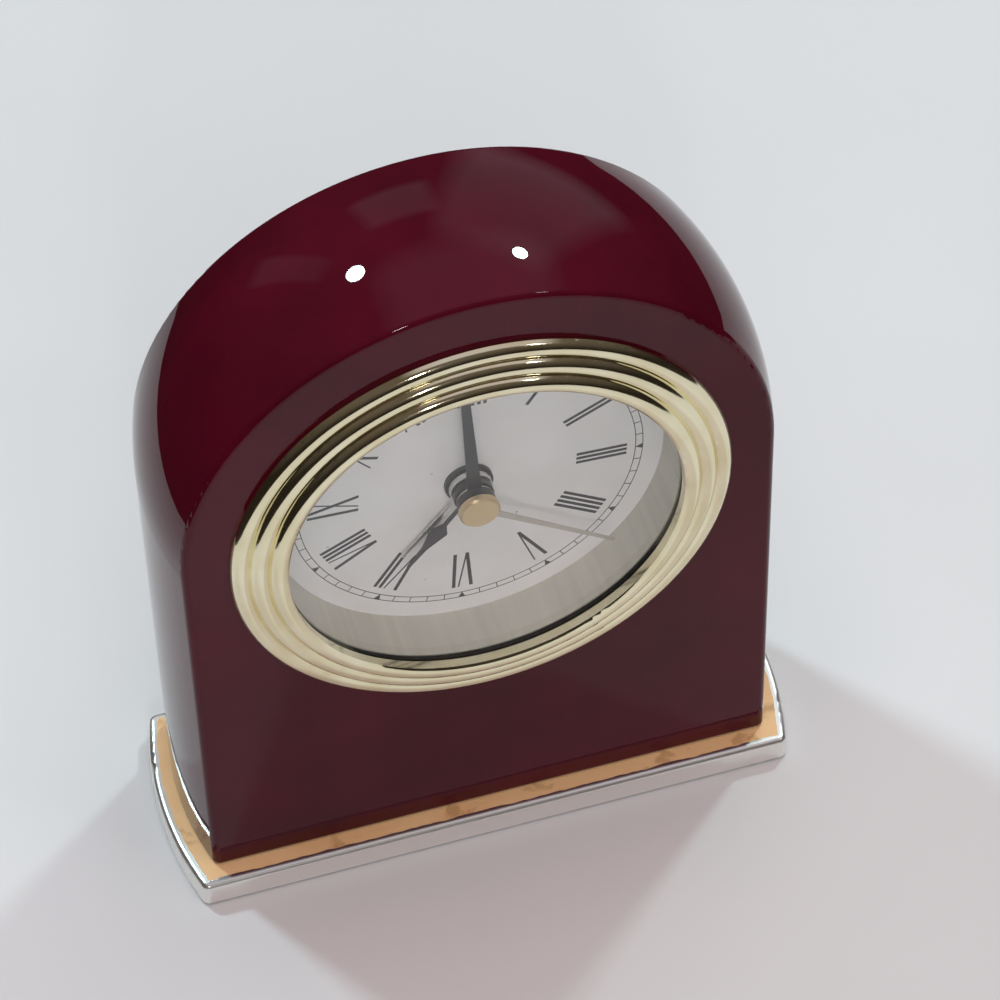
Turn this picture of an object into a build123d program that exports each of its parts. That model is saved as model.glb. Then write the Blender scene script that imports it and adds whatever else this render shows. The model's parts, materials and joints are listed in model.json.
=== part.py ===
from build123d import *

import os
from math import cos, hypot, radians, sin

# Sizes are in millimetres and angles in degrees. The table is at Z 0, and the dial faces -Y.

# Feet and base plate
FOOT_RADIUS = 4.2
FOOT_HEIGHT = 0.5
FOOT_EDGE_ROUND = 0.2
FOOT_INSET_X = 7.0
FOOT_INSET_Y = 5.8
BASE_THICKNESS = 4.0
BASE_RIM_ROUND = 0.9
BASE_CORNER_ROUND = 1.3
BASE_FRONT_LIP = 3.3
BASE_BACK_LIP = 1.7
BASE_END_LIP = 2.6
BASE_BULGE = 2.5

# Case, an arch whose sides and crown are bowed from front to back
CASE_HALF_WIDTH = 41.1
CASE_DEPTH = 27.4
CASE_RISE = 65.2
CASE_BULGE = 2.1
CASE_EDGE_ROUND = 1.1
CASE_FOOT_ROUND = 0.7
DIAL_DROP = 1.8

# Countersunk screws that hold the base plate under the case
BASE_SCREW_OFFSET = 25.0
BASE_SCREW_RADIUS = 1.5
BASE_SCREW_HEAD = 2.9
BASE_SCREW_LENGTH = 14.0
BASE_SCREW_SLOT = 0.7
BASE_SCREW_SLOT_DEPTH = 0.7
COUNTERSINK_ANGLE = 90.0

# Clearances
INSERT_CLEARANCE = 0.3
SEAT_CLEARANCE = 0.05
RUNNING_CLEARANCE = 0.05
PRESS_CLEARANCE = 0.02
DOOR_CLEARANCE = 0.15
SCREW_CLEARANCE = 0.05

# Clock insert: depths are measured behind the case's front face
INSERT_TURN = 3.5
BEZEL_OVERLAP = 5.0
BEZEL_EDGE = 0.4
BEAD_COUNT = 3
BEAD_STEP = 0.8
BEAD_CROWN = 0.75
SKIRT_WALL = 0.85
SKIRT_LENGTH = 12.0
LIP_SEAT = 1.25
GLASS_STANDOFF = 1.5
GLASS_THICKNESS = 1.2
GASKET_THICKNESS = 0.6
GASKET_WIDTH = 0.95
REHAUT_WALL = 1.15
DIAL_DEPTH = 7.5
DIAL_THICKNESS = 0.5
HOUSING_WALL = 1.3
HOUSING_FLOOR = 1.2
PLATE_LEDGE = 0.7
COVER_THICKNESS = 1.6
COVER_RIM = 0.8
GRIP_DEPTH = 16.0
GRIP_WIDTH = 5.0

# Cell of size N and its bay
CELL_RADIUS = 6.0
CELL_LENGTH = 30.2
CELL_NUB_RADIUS = 2.0
CELL_NUB_LENGTH = 1.2
CELL_DROP = 15.05
CELL_ROOM = 0.6
SADDLE_HEIGHT = 2.0
SADDLE_SPACING = 18.0
SADDLE_WIDTH = 1.2
SADDLE_SPAN = 6.0
CONTACT_THICKNESS = 0.4
CONTACT_SPAN = 8.0
CONTACT_DEPTH = 10.0
BAY_WALL = 1.0
BAY_WALL_SPAN = 8.5

# Wheel train: levels of one wheel each, from the dial backwards
WHEEL_THICKNESS = 0.8
LEVEL_AIR = 0.3
PLATE_THICKNESS = 1.0
ADDENDUM = 0.8
DEDENDUM = 1.2
TOOTH_ROOT_SHARE = 0.27
TOOTH_TIP_SHARE = 0.10
ARBOR_RADIUS = 0.5
STUD_RADIUS = 0.7
SETTER_RADIUS = 1.0
TUBE_WALL = 0.45

CENTRE_TEETH = 80
THIRD_PINION_TEETH = 10
THIRD_TEETH = 75
SECOND_PINION_TEETH = 10
CENTRE_MODULE = 0.19
THIRD_ANGLE = 90.0

SECOND_TEETH = 40
INTERMEDIATE_PINION_TEETH = 8
SECOND_MODULE = 0.25
INTERMEDIATE_ANGLE = 20.0

INTERMEDIATE_TEETH = 48
ROTOR_PINION_TEETH = 8
INTERMEDIATE_MODULE = 0.2
ROTOR_ANGLE = 10.0

CANNON_TEETH = 12
MINUTE_TEETH = 36
MINUTE_PINION_TEETH = 10
HOUR_TEETH = 40
MOTION_MODULE = 0.3
MINUTE_WHEEL_ANGLE = 180.0
TIME_PINION_TEETH = 18
TIME_SETTER_ANGLE = 190.0

ALARM_TEETH = 40
ALARM_SETTER_TEETH = 60
ALARM_MODULE = 0.3
ALARM_SETTER_ANGLE = -5.0

# Step motor and electronics
MAGNET_RADIUS = 2.0
STATOR_GAP = 0.35
STATOR_RING = 1.5
STATOR_BAR = 1.4
COIL_LENGTH = 8.0
COIL_HALF = 1.5
COIL_FLANGE = 0.6
COIL_RISE = 13.0
COIL_FROM_ROTOR = 2.0
BOARD_HEIGHT = 12.0
BOARD_THICKNESS = 0.8
BOARD_RISE = 11.0
BOARD_GAP = 0.3
CHIP_RADIUS = 2.2
CHIP_HEIGHT = 0.9
CRYSTAL_RADIUS = 1.0
CRYSTAL_LENGTH = 6.0
CRYSTAL_DROP = 3.5
BUZZER_RADIUS = 6.0
BUZZER_THICKNESS = 0.8
BUZZER_AT = (-13.0, 13.0)

# Pillars, bosses and small screws
PILLARS = [(-9.5, 8.5), (3.0, -6.2), (-5.5, -5.0), (5.0, 17.0)]
PILLAR_RADIUS = 1.2
BRIDGE_MARGIN = 1.0
SMALL_SCREW_RADIUS = 0.6
SMALL_SCREW_HEAD = 1.4
SMALL_SCREW_HEAD_HEIGHT = 0.7
SMALL_SCREW_GRIP = 3.0
SMALL_SCREW_SLOT = 0.4
BOSS_COUNT = 3
BOSS_ANGLE = 30.0
BOSS_INSET = 2.1
BOSS_RADIUS = 2.3
BOSS_ROOM = 0.3

# Back controls
KNOB_RADIUS = 4.2
KNOB_GAP = 0.3
KNOB_FLUTES = 16
KNOB_FLUTE_RADIUS = 0.4
KNOB_EDGE = 0.4
DOOR_MARGIN = 1.5
DOOR_LEDGE = 1.0
DOOR_THICKNESS = 1.1
DOOR_RIB = (9.0, 0.6)
DOOR_RIB_HEIGHT = 0.4
DOOR_RIB_PITCH = 1.6
DOOR_RIB_COUNT = 4
SWITCH_RISE = 20.0
SWITCH_TRAVEL = 4.0
SWITCH_THUMB = (3.6, 2.6)
SWITCH_PROUD = 1.2
SWITCH_ROOM = 0.2
SWITCH_SHOE = (9.0, 5.0)
SWITCH_SHOE_THICKNESS = 0.8

# Hands: angles are clockwise from the dial's twelve, heights are above the dial
BUSH_RADIUS = 3.4
BUSH_HEIGHT = 0.6
BUSH_WALL = 0.65
HUB_GAP = 0.3
ALARM_HUB_RADIUS = 3.0
ALARM_HUB_HEIGHT = 0.9
HOUR_HUB_RADIUS = 2.8
HOUR_HUB_HEIGHT = 0.9
WASHER_RADIUS = 2.6
WASHER_HEIGHT = 0.25
MINUTE_HUB_RADIUS = 2.7
MINUTE_HUB_HEIGHT = 1.2
CAP_RADIUS = 2.85
CAP_HEIGHT = 1.0
CAP_EDGE = 0.3
HAND_THICKNESS = 0.25
ALARM_ANGLE = 217.3
HOUR_ANGLE = 213.6
MINUTE_ANGLE = -6.0
SECOND_ANGLE = 122.0
ALARM_REACH = 15.2
ALARM_WIDTH = 0.9
ALARM_TIP_WIDTH = 0.4
HOUR_NECK_REACH = 6.7
HOUR_NECK_WIDTH = 0.6
HOUR_SHOULDER_REACH = 8.2
HOUR_SHOULDER_WIDTH = 2.9
HOUR_WAIST_REACH = 11.7
HOUR_WAIST_WIDTH = 0.8
HOUR_REACH = 15.7
HOUR_TIP_WIDTH = 0.35
MINUTE_REACH = 22.6
MINUTE_POINT = 1.3
MINUTE_WIDTH = 2.0
MINUTE_END_WIDTH = 1.2
MINUTE_TIP_WIDTH = 0.6
SECOND_REACH = 23.3
SECOND_WIDTH = 1.0
SECOND_TIP_WIDTH = 0.4

# Places worked out from the sizes above
BASE_DEPTH = CASE_DEPTH + BASE_FRONT_LIP + BASE_BACK_LIP
BASE_HALF_WIDTH = CASE_HALF_WIDTH + BASE_END_LIP
CASE_FRONT = BASE_FRONT_LIP - BASE_DEPTH / 2
CASE_BACK = CASE_FRONT + CASE_DEPTH
CASE_BOTTOM = FOOT_HEIGHT + BASE_THICKNESS
ARCH_Z = CASE_BOTTOM + CASE_RISE
AXIS_Z = ARCH_Z - DIAL_DROP
BORE_AXIS = Axis((0, CASE_FRONT, AXIS_Z), (0, 1, 0))

# The cell's door sets how wide the insert is, and the insert sets the bore and the bezel
DOOR_HALF_LENGTH = CELL_LENGTH / 2 + DOOR_MARGIN
DOOR_HALF_WIDTH = CELL_RADIUS + DOOR_MARGIN
STACK_RADIUS = hypot(DOOR_HALF_LENGTH, CELL_DROP + DOOR_HALF_WIDTH) + COVER_RIM
SEAT_RADIUS = STACK_RADIUS + SEAT_CLEARANCE
SKIRT_RADIUS = SEAT_RADIUS + SKIRT_WALL
BORE_RADIUS = SKIRT_RADIUS + INSERT_CLEARANCE
BEZEL_RADIUS = BORE_RADIUS + BEZEL_OVERLAP
OPENING_RADIUS = STACK_RADIUS - LIP_SEAT
BEAD_WIDTH = (BEZEL_RADIUS - OPENING_RADIUS) / BEAD_COUNT
GASKET_FRONT = GLASS_THICKNESS - GLASS_STANDOFF
REHAUT_FRONT = GASKET_FRONT + GASKET_THICKNESS
HOUSING_FRONT = DIAL_DEPTH + DIAL_THICKNESS
FLOOR_BACK = HOUSING_FRONT + HOUSING_FLOOR
CELL_DEPTH = FLOOR_BACK + SADDLE_HEIGHT + SEAT_CLEARANCE + CELL_RADIUS
COVER_FRONT = CELL_DEPTH + CELL_RADIUS + CELL_ROOM
COVER_BACK = COVER_FRONT + COVER_THICKNESS
HOUSING_INSIDE = STACK_RADIUS - HOUSING_WALL
BOSS_CIRCLE = HOUSING_INSIDE - BOSS_INSET

LEVEL = WHEEL_THICKNESS + LEVEL_AIR
ALARM_LEVEL = FLOOR_BACK + LEVEL_AIR
HOUR_LEVEL = ALARM_LEVEL + LEVEL
MOTION_LEVEL = HOUR_LEVEL + LEVEL
CENTRE_LEVEL = MOTION_LEVEL + LEVEL
PLATE_FRONT = CENTRE_LEVEL + LEVEL
PLATE_BACK = PLATE_FRONT + PLATE_THICKNESS
THIRD_LEVEL = PLATE_BACK + LEVEL_AIR
SECOND_LEVEL = THIRD_LEVEL + LEVEL
INTERMEDIATE_LEVEL = SECOND_LEVEL + LEVEL
BRIDGE_FRONT = INTERMEDIATE_LEVEL + LEVEL
BRIDGE_BACK = BRIDGE_FRONT + PLATE_THICKNESS

CANNON_RADIUS = ARBOR_RADIUS + RUNNING_CLEARANCE + TUBE_WALL
HOUR_PIPE_RADIUS = CANNON_RADIUS + RUNNING_CLEARANCE + TUBE_WALL
ALARM_PIPE_RADIUS = HOUR_PIPE_RADIUS + RUNNING_CLEARANCE + TUBE_WALL
BUSH_BORE = ALARM_PIPE_RADIUS + RUNNING_CLEARANCE
SLEEVE_RADIUS = BUSH_BORE + BUSH_WALL

ALARM_HUB_FOOT = BUSH_HEIGHT + HUB_GAP
ALARM_HUB_TOP = ALARM_HUB_FOOT + ALARM_HUB_HEIGHT
HOUR_HUB_FOOT = ALARM_HUB_TOP + HUB_GAP
HOUR_HUB_TOP = HOUR_HUB_FOOT + HOUR_HUB_HEIGHT
WASHER_FOOT = HOUR_HUB_TOP + HUB_GAP
MINUTE_HUB_FOOT = WASHER_FOOT + WASHER_HEIGHT
MINUTE_HUB_TOP = MINUTE_HUB_FOOT + MINUTE_HUB_HEIGHT
CAP_FOOT = MINUTE_HUB_TOP + HUB_GAP
ARBOR_TOP = CAP_FOOT + CAP_HEIGHT - CAP_EDGE


def polar(radius, angle, start=(0, 0)):
    """A point at a radius and an angle from a start point, seen from the front."""
    return (start[0] + radius * cos(radians(angle)), start[1] + radius * sin(radians(angle)))


def insert_plane(depth, at=(0, 0), turn=0):
    """A plane across the insert, its x to the right, its y up and its z towards the viewer."""
    place = Vector(at[0], 0, at[1]).rotate(Axis.Y, INSERT_TURN)
    right = Vector(1, 0, 0).rotate(Axis.Y, INSERT_TURN + turn)
    return Plane((place.X, CASE_FRONT + depth, AXIS_Z + place.Z), x_dir=right, z_dir=(0, -1, 0))


def pair_offset(module, teeth, other_teeth):
    """The distance between the axes of two wheels in mesh."""
    return module * (teeth + other_teeth) / 2


def pair_module(offset, teeth, other_teeth):
    """The module of two wheels whose axes lie a known distance apart."""
    return 2 * offset / (teeth + other_teeth)


def mesh_phase(lead_teeth, lead_phase, direction, teeth):
    """The angle of a tooth of a wheel that meshes with a lead wheel lying behind the direction."""
    pitches = (direction - lead_phase) * lead_teeth / 360
    return direction + 180 + (pitches - 0.5) * 360 / teeth


def tooth_points(teeth, module, phase):
    """The corners of a toothed outline of flat-sided teeth."""
    root = module * (teeth / 2 - DEDENDUM)
    tip = module * (teeth / 2 + ADDENDUM)
    pitch = 360 / teeth
    points = []
    for number in range(teeth):
        middle = phase + number * pitch
        points.append(polar(root, middle - TOOTH_ROOT_SHARE * pitch))
        points.append(polar(tip, middle - TOOTH_TIP_SHARE * pitch))
        points.append(polar(tip, middle + TOOTH_TIP_SHARE * pitch))
        points.append(polar(root, middle + TOOTH_ROOT_SHARE * pitch))
    return points


def toothed(plane, teeth, module, phase, thickness):
    """Add a toothed wheel behind a plane to the part in progress."""
    with BuildSketch(plane) as outline:
        with BuildLine():
            Polyline(*tooth_points(teeth, module, phase), close=True)
        make_face()
    extrude(outline.sketch, amount=-thickness)


def round_length(plane, radius, length, bore=0, mode=Mode.ADD):
    """Add or cut a round length behind a plane, with a bore if one is given."""
    with BuildSketch(plane) as outline:
        Circle(radius)
        if bore:
            Circle(bore, mode=Mode.SUBTRACT)
    extrude(outline.sketch, amount=-length, mode=mode)


def block(plane, size, length, places=((0, 0),), mode=Mode.ADD):
    """Add or cut one or more square blocks behind a plane."""
    with BuildSketch(plane) as outline:
        with Locations(*places):
            Rectangle(*size)
    extrude(outline.sketch, amount=-length, mode=mode)


def small_screws(places, seat, lengthways):
    """Add slotted pan-head screws whose heads sit on a seat and whose shanks run to the front."""
    for place in places:
        head = insert_plane(seat + SMALL_SCREW_HEAD_HEIGHT, place)
        round_length(insert_plane(seat, place), SMALL_SCREW_HEAD, SMALL_SCREW_HEAD_HEIGHT)
        round_length(insert_plane(seat - lengthways, place), SMALL_SCREW_RADIUS, lengthways)
        block(head, (2 * SMALL_SCREW_HEAD, SMALL_SCREW_SLOT), -SMALL_SCREW_SLOT, mode=Mode.SUBTRACT)


def finish(builder, name):
    """Label a finished piece and write it."""
    builder.part.label = name
    export_step(builder.part, f"parts/{name}.step")


os.makedirs("parts", exist_ok=True)

# Axes of the wheel train
CENTRE = (0, 0)
THIRD_OFFSET = pair_offset(CENTRE_MODULE, CENTRE_TEETH, THIRD_PINION_TEETH)
THIRD = polar(THIRD_OFFSET, THIRD_ANGLE)
THIRD_MODULE = pair_module(THIRD_OFFSET, THIRD_TEETH, SECOND_PINION_TEETH)
INTERMEDIATE_OFFSET = pair_offset(SECOND_MODULE, SECOND_TEETH, INTERMEDIATE_PINION_TEETH)
INTERMEDIATE = polar(INTERMEDIATE_OFFSET, INTERMEDIATE_ANGLE)
ROTOR_OFFSET = pair_offset(INTERMEDIATE_MODULE, INTERMEDIATE_TEETH, ROTOR_PINION_TEETH)
ROTOR = polar(ROTOR_OFFSET, ROTOR_ANGLE, INTERMEDIATE)
MINUTE_OFFSET = pair_offset(MOTION_MODULE, CANNON_TEETH, MINUTE_TEETH)
MINUTE_WHEEL = polar(MINUTE_OFFSET, MINUTE_WHEEL_ANGLE)
HOUR_MODULE = pair_module(MINUTE_OFFSET, HOUR_TEETH, MINUTE_PINION_TEETH)
TIME_SETTER_OFFSET = pair_offset(MOTION_MODULE, MINUTE_TEETH, TIME_PINION_TEETH)
TIME_SETTER = polar(TIME_SETTER_OFFSET, TIME_SETTER_ANGLE, MINUTE_WHEEL)
ALARM_SETTER_OFFSET = pair_offset(ALARM_MODULE, ALARM_TEETH, ALARM_SETTER_TEETH)
ALARM_SETTER = polar(ALARM_SETTER_OFFSET, ALARM_SETTER_ANGLE)
BOSSES = [polar(BOSS_CIRCLE, BOSS_ANGLE + number * 360 / BOSS_COUNT) for number in range(BOSS_COUNT)]
PIVOT_HOLE = ARBOR_RADIUS + RUNNING_CLEARANCE
SETTER_HOLE = SETTER_RADIUS + RUNNING_CLEARANCE

# The circuit board fills the room between a screw boss and a pillar
BOARD_LEFT = BOSSES[1][0] + BOSS_RADIUS + BOARD_GAP
BOARD_RIGHT = PILLARS[0][0] - PILLAR_RADIUS - BOARD_GAP
BOARD_SIZE = (BOARD_RIGHT - BOARD_LEFT, BOARD_HEIGHT)
BOARD_AT = ((BOARD_LEFT + BOARD_RIGHT) / 2, BOARD_RISE)

# Case body: half of its plan is run down to the base and turned over the arch
with BuildSketch(Plane.XY.offset(ARCH_Z)) as case_plan:
    with BuildLine():
        Line((0, CASE_FRONT), (CASE_HALF_WIDTH, CASE_FRONT))
        ThreePointArc(
            (CASE_HALF_WIDTH, CASE_FRONT),
            (CASE_HALF_WIDTH + CASE_BULGE, (CASE_FRONT + CASE_BACK) / 2),
            (CASE_HALF_WIDTH, CASE_BACK),
        )
        Polyline((CASE_HALF_WIDTH, CASE_BACK), (0, CASE_BACK), (0, CASE_FRONT))
    make_face()
    fillet(case_plan.vertices().group_by(Axis.X)[-1], CASE_EDGE_ROUND)

with BuildPart() as case_body:
    extrude(case_plan.sketch, amount=-CASE_RISE)
    mirror(about=Plane.YZ)
    revolve(case_plan.sketch, axis=Axis((0, 0, ARCH_Z), (0, -1, 0)), revolution_arc=180)
    fillet(case_body.edges().group_by(Axis.Z)[0], CASE_FOOT_ROUND)
    round_length(insert_plane(0), BORE_RADIUS, CASE_DEPTH, mode=Mode.SUBTRACT)
    with BuildSketch(Plane.XY.offset(CASE_BOTTOM)) as pilot_holes:
        with Locations((-BASE_SCREW_OFFSET, 0), (BASE_SCREW_OFFSET, 0)):
            Circle(BASE_SCREW_RADIUS + SCREW_CLEARANCE)
    extrude(pilot_holes.sketch, amount=BASE_SCREW_LENGTH, mode=Mode.SUBTRACT)
finish(case_body, "case_body")

# Base plate with bowed ends and a rounded upper rim
with BuildPart() as base_plate:
    with BuildSketch(Plane.XY.offset(FOOT_HEIGHT)) as base_plan:
        with BuildLine():
            front_edge = Line((-BASE_HALF_WIDTH, -BASE_DEPTH / 2), (BASE_HALF_WIDTH, -BASE_DEPTH / 2))
            back_edge = Line((BASE_HALF_WIDTH, BASE_DEPTH / 2), (-BASE_HALF_WIDTH, BASE_DEPTH / 2))
            ThreePointArc(front_edge @ 1, (BASE_HALF_WIDTH + BASE_BULGE, 0), back_edge @ 0)
            ThreePointArc(back_edge @ 1, (-BASE_HALF_WIDTH - BASE_BULGE, 0), front_edge @ 0)
        make_face()
        fillet(base_plan.vertices(), BASE_CORNER_ROUND)
    extrude(amount=BASE_THICKNESS)
    fillet(base_plate.edges().group_by(Axis.Z)[-1], BASE_RIM_ROUND)
    with Locations(Plane((0, 0, FOOT_HEIGHT), x_dir=(1, 0, 0), z_dir=(0, 0, -1))):
        with Locations((-BASE_SCREW_OFFSET, 0), (BASE_SCREW_OFFSET, 0)):
            CounterSinkHole(
                BASE_SCREW_RADIUS + SCREW_CLEARANCE,
                BASE_SCREW_HEAD + SCREW_CLEARANCE,
                counter_sink_angle=COUNTERSINK_ANGLE,
            )
finish(base_plate, "base_plate")

# Base screws: countersunk heads flush with the underside
with BuildPart() as base_screws:
    for side in (-BASE_SCREW_OFFSET, BASE_SCREW_OFFSET):
        with BuildSketch(Plane((side, 0, FOOT_HEIGHT), x_dir=(1, 0, 0), z_dir=(0, -1, 0))) as screw_half:
            with BuildLine():
                Polyline(
                    (0, 0),
                    (BASE_SCREW_HEAD, 0),
                    (BASE_SCREW_RADIUS, BASE_SCREW_HEAD - BASE_SCREW_RADIUS),
                    (BASE_SCREW_RADIUS, BASE_SCREW_LENGTH),
                    (0, BASE_SCREW_LENGTH + BASE_SCREW_RADIUS),
                    close=True,
                )
            make_face()
        revolve(screw_half.sketch, axis=Axis((side, 0, 0), (0, 0, 1)))
        with BuildSketch(Plane((side, 0, FOOT_HEIGHT), z_dir=(0, 0, 1))) as screw_slot:
            Rectangle(2 * BASE_SCREW_HEAD, BASE_SCREW_SLOT)
        extrude(screw_slot.sketch, amount=BASE_SCREW_SLOT_DEPTH, mode=Mode.SUBTRACT)
finish(base_screws, "base_screws")

# Feet: four round pads under the corners of the base
with BuildPart() as base_feet:
    foot_spacing = (2 * (BASE_HALF_WIDTH - FOOT_INSET_X), BASE_DEPTH - 2 * FOOT_INSET_Y)
    with BuildSketch():
        with GridLocations(*foot_spacing, 2, 2):
            Circle(FOOT_RADIUS)
    extrude(amount=FOOT_HEIGHT)
    fillet(base_feet.edges().group_by(Axis.Z)[0], FOOT_EDGE_ROUND)
finish(base_feet, "base_feet")

# Bezel: three rounded beads that step up towards the glass, on a skirt that enters the bore
with BuildPart() as bezel:
    with BuildSketch(Plane((0, CASE_FRONT, AXIS_Z), x_dir=(1, 0, 0), z_dir=(0, 0, 1))) as bezel_half:
        with BuildLine():
            Polyline(
                (OPENING_RADIUS, -BEZEL_EDGE - BEAD_COUNT * BEAD_STEP),
                (OPENING_RADIUS, -GLASS_STANDOFF),
                (SEAT_RADIUS, -GLASS_STANDOFF),
                (SEAT_RADIUS, SKIRT_LENGTH),
                (SKIRT_RADIUS, SKIRT_LENGTH),
                (SKIRT_RADIUS, 0),
                (BEZEL_RADIUS, 0),
                (BEZEL_RADIUS, -BEZEL_EDGE),
            )
            for bead in range(BEAD_COUNT):
                outer = BEZEL_RADIUS - bead * BEAD_WIDTH
                foot = -BEZEL_EDGE - bead * BEAD_STEP
                ThreePointArc(
                    (outer, foot),
                    (outer - BEAD_WIDTH / 2, foot - BEAD_STEP / 2 - BEAD_CROWN),
                    (outer - BEAD_WIDTH, foot - BEAD_STEP),
                )
        make_face()
    revolve(bezel_half.sketch, axis=BORE_AXIS)
finish(bezel, "bezel")

# Glass, its gasket, the wall round the dial and the dial lie behind each other in the skirt
with BuildPart() as glass:
    round_length(insert_plane(-GLASS_STANDOFF), STACK_RADIUS, GLASS_THICKNESS)
finish(glass, "glass")

with BuildPart() as glass_gasket:
    round_length(insert_plane(GASKET_FRONT), STACK_RADIUS, GASKET_THICKNESS, STACK_RADIUS - GASKET_WIDTH)
finish(glass_gasket, "glass_gasket")

with BuildPart() as rehaut:
    rehaut_length = DIAL_DEPTH - REHAUT_FRONT
    round_length(insert_plane(REHAUT_FRONT), STACK_RADIUS, rehaut_length, STACK_RADIUS - REHAUT_WALL)
finish(rehaut, "rehaut")

with BuildPart() as dial:
    round_length(insert_plane(DIAL_DEPTH), STACK_RADIUS, DIAL_THICKNESS, SLEEVE_RADIUS + SEAT_CLEARANCE)
finish(dial, "dial")

with BuildPart() as dial_bush:
    round_length(insert_plane(DIAL_DEPTH - BUSH_HEIGHT), BUSH_RADIUS, BUSH_HEIGHT)
    round_length(insert_plane(DIAL_DEPTH), SLEEVE_RADIUS, FLOOR_BACK - DIAL_DEPTH)
    bush_length = FLOOR_BACK - DIAL_DEPTH + BUSH_HEIGHT
    round_length(insert_plane(DIAL_DEPTH - BUSH_HEIGHT), BUSH_BORE, bush_length, mode=Mode.SUBTRACT)
finish(dial_bush, "dial_bush")

# Housing: a round cup with the cell's bay, screw bosses and the minute wheel's stud
with BuildPart() as housing:
    round_length(insert_plane(HOUSING_FRONT), STACK_RADIUS, COVER_FRONT - HOUSING_FRONT)
    ledge_length = PLATE_FRONT - FLOOR_BACK
    round_length(insert_plane(FLOOR_BACK), HOUSING_INSIDE - PLATE_LEDGE, ledge_length, mode=Mode.SUBTRACT)
    cup_length = COVER_FRONT - PLATE_FRONT
    round_length(insert_plane(PLATE_FRONT), HOUSING_INSIDE, cup_length, mode=Mode.SUBTRACT)
    round_length(
        insert_plane(HOUSING_FRONT), SLEEVE_RADIUS + SEAT_CLEARANCE, HOUSING_FLOOR, mode=Mode.SUBTRACT
    )
    round_length(insert_plane(FLOOR_BACK, MINUTE_WHEEL), STUD_RADIUS, CENTRE_LEVEL - LEVEL_AIR - FLOOR_BACK)
    for boss in BOSSES:
        round_length(insert_plane(FLOOR_BACK, boss), BOSS_RADIUS, COVER_FRONT - FLOOR_BACK)
        pilot = insert_plane(COVER_FRONT - SMALL_SCREW_GRIP, boss)
        round_length(pilot, SMALL_SCREW_RADIUS + SCREW_CLEARANCE, SMALL_SCREW_GRIP, mode=Mode.SUBTRACT)
    for setter in (TIME_SETTER, ALARM_SETTER):
        socket = insert_plane(FLOOR_BACK - HOUSING_FLOOR / 2, setter)
        round_length(socket, PIVOT_HOLE, HOUSING_FLOOR / 2, mode=Mode.SUBTRACT)
    bay_floor = insert_plane(FLOOR_BACK)
    saddles = [(-SADDLE_SPACING / 2, -CELL_DROP), (SADDLE_SPACING / 2, -CELL_DROP)]
    block(bay_floor, (SADDLE_WIDTH, SADDLE_SPAN), SADDLE_HEIGHT, saddles)
    wall_offset = CELL_LENGTH / 2 + 2 * SEAT_CLEARANCE + CONTACT_THICKNESS + BAY_WALL / 2
    bay_walls = [(-wall_offset, -CELL_DROP), (wall_offset, -CELL_DROP)]
    block(bay_floor, (BAY_WALL, BAY_WALL_SPAN), CELL_DEPTH + CONTACT_DEPTH / 2 - FLOOR_BACK, bay_walls)
finish(housing, "housing")

with BuildPart() as grip_ring:
    ring_radius = BORE_RADIUS - SEAT_CLEARANCE
    round_length(insert_plane(GRIP_DEPTH), ring_radius, GRIP_WIDTH, STACK_RADIUS + SEAT_CLEARANCE)
finish(grip_ring, "grip_ring")

# Train plate: carries the pivots, with pillars for the bridge behind it
with BuildPart() as train_plate:
    plate_radius = HOUSING_INSIDE - SEAT_CLEARANCE
    with BuildSketch(insert_plane(PLATE_FRONT)) as plate_outline:
        Circle(plate_radius)
        with Locations((0, CELL_ROOM + CELL_RADIUS - CELL_DROP)):
            Rectangle(2 * plate_radius, 2 * plate_radius, align=(Align.CENTER, Align.MAX), mode=Mode.SUBTRACT)
        with Locations(*BOSSES):
            Circle(BOSS_RADIUS + BOSS_ROOM, mode=Mode.SUBTRACT)
        with Locations(CENTRE, THIRD, INTERMEDIATE, ROTOR):
            Circle(PIVOT_HOLE, mode=Mode.SUBTRACT)
        with Locations(TIME_SETTER, ALARM_SETTER):
            Circle(SETTER_HOLE, mode=Mode.SUBTRACT)
    extrude(plate_outline.sketch, amount=-PLATE_THICKNESS)
    for pillar in PILLARS:
        round_length(insert_plane(PLATE_BACK, pillar), PILLAR_RADIUS, BRIDGE_FRONT - PLATE_BACK)
        pillar_hole = insert_plane(BRIDGE_FRONT - SMALL_SCREW_GRIP, pillar)
        round_length(pillar_hole, SMALL_SCREW_RADIUS + SCREW_CLEARANCE, SMALL_SCREW_GRIP, mode=Mode.SUBTRACT)
finish(train_plate, "train_plate")

with BuildPart() as train_bridge:
    with BuildSketch(insert_plane(BRIDGE_FRONT)) as bridge_outline:
        with Locations(*PILLARS, ROTOR):
            Circle(PILLAR_RADIUS + BRIDGE_MARGIN)
        make_hull()
        with Locations(*PILLARS):
            Circle(SMALL_SCREW_RADIUS + SCREW_CLEARANCE, mode=Mode.SUBTRACT)
        with Locations(CENTRE, THIRD, INTERMEDIATE, ROTOR):
            Circle(PIVOT_HOLE, mode=Mode.SUBTRACT)
    extrude(bridge_outline.sketch, amount=-PLATE_THICKNESS)
finish(train_bridge, "train_bridge")

with BuildPart() as bridge_screws:
    small_screws(PILLARS, BRIDGE_BACK, SMALL_SCREW_GRIP)
finish(bridge_screws, "bridge_screws")

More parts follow.
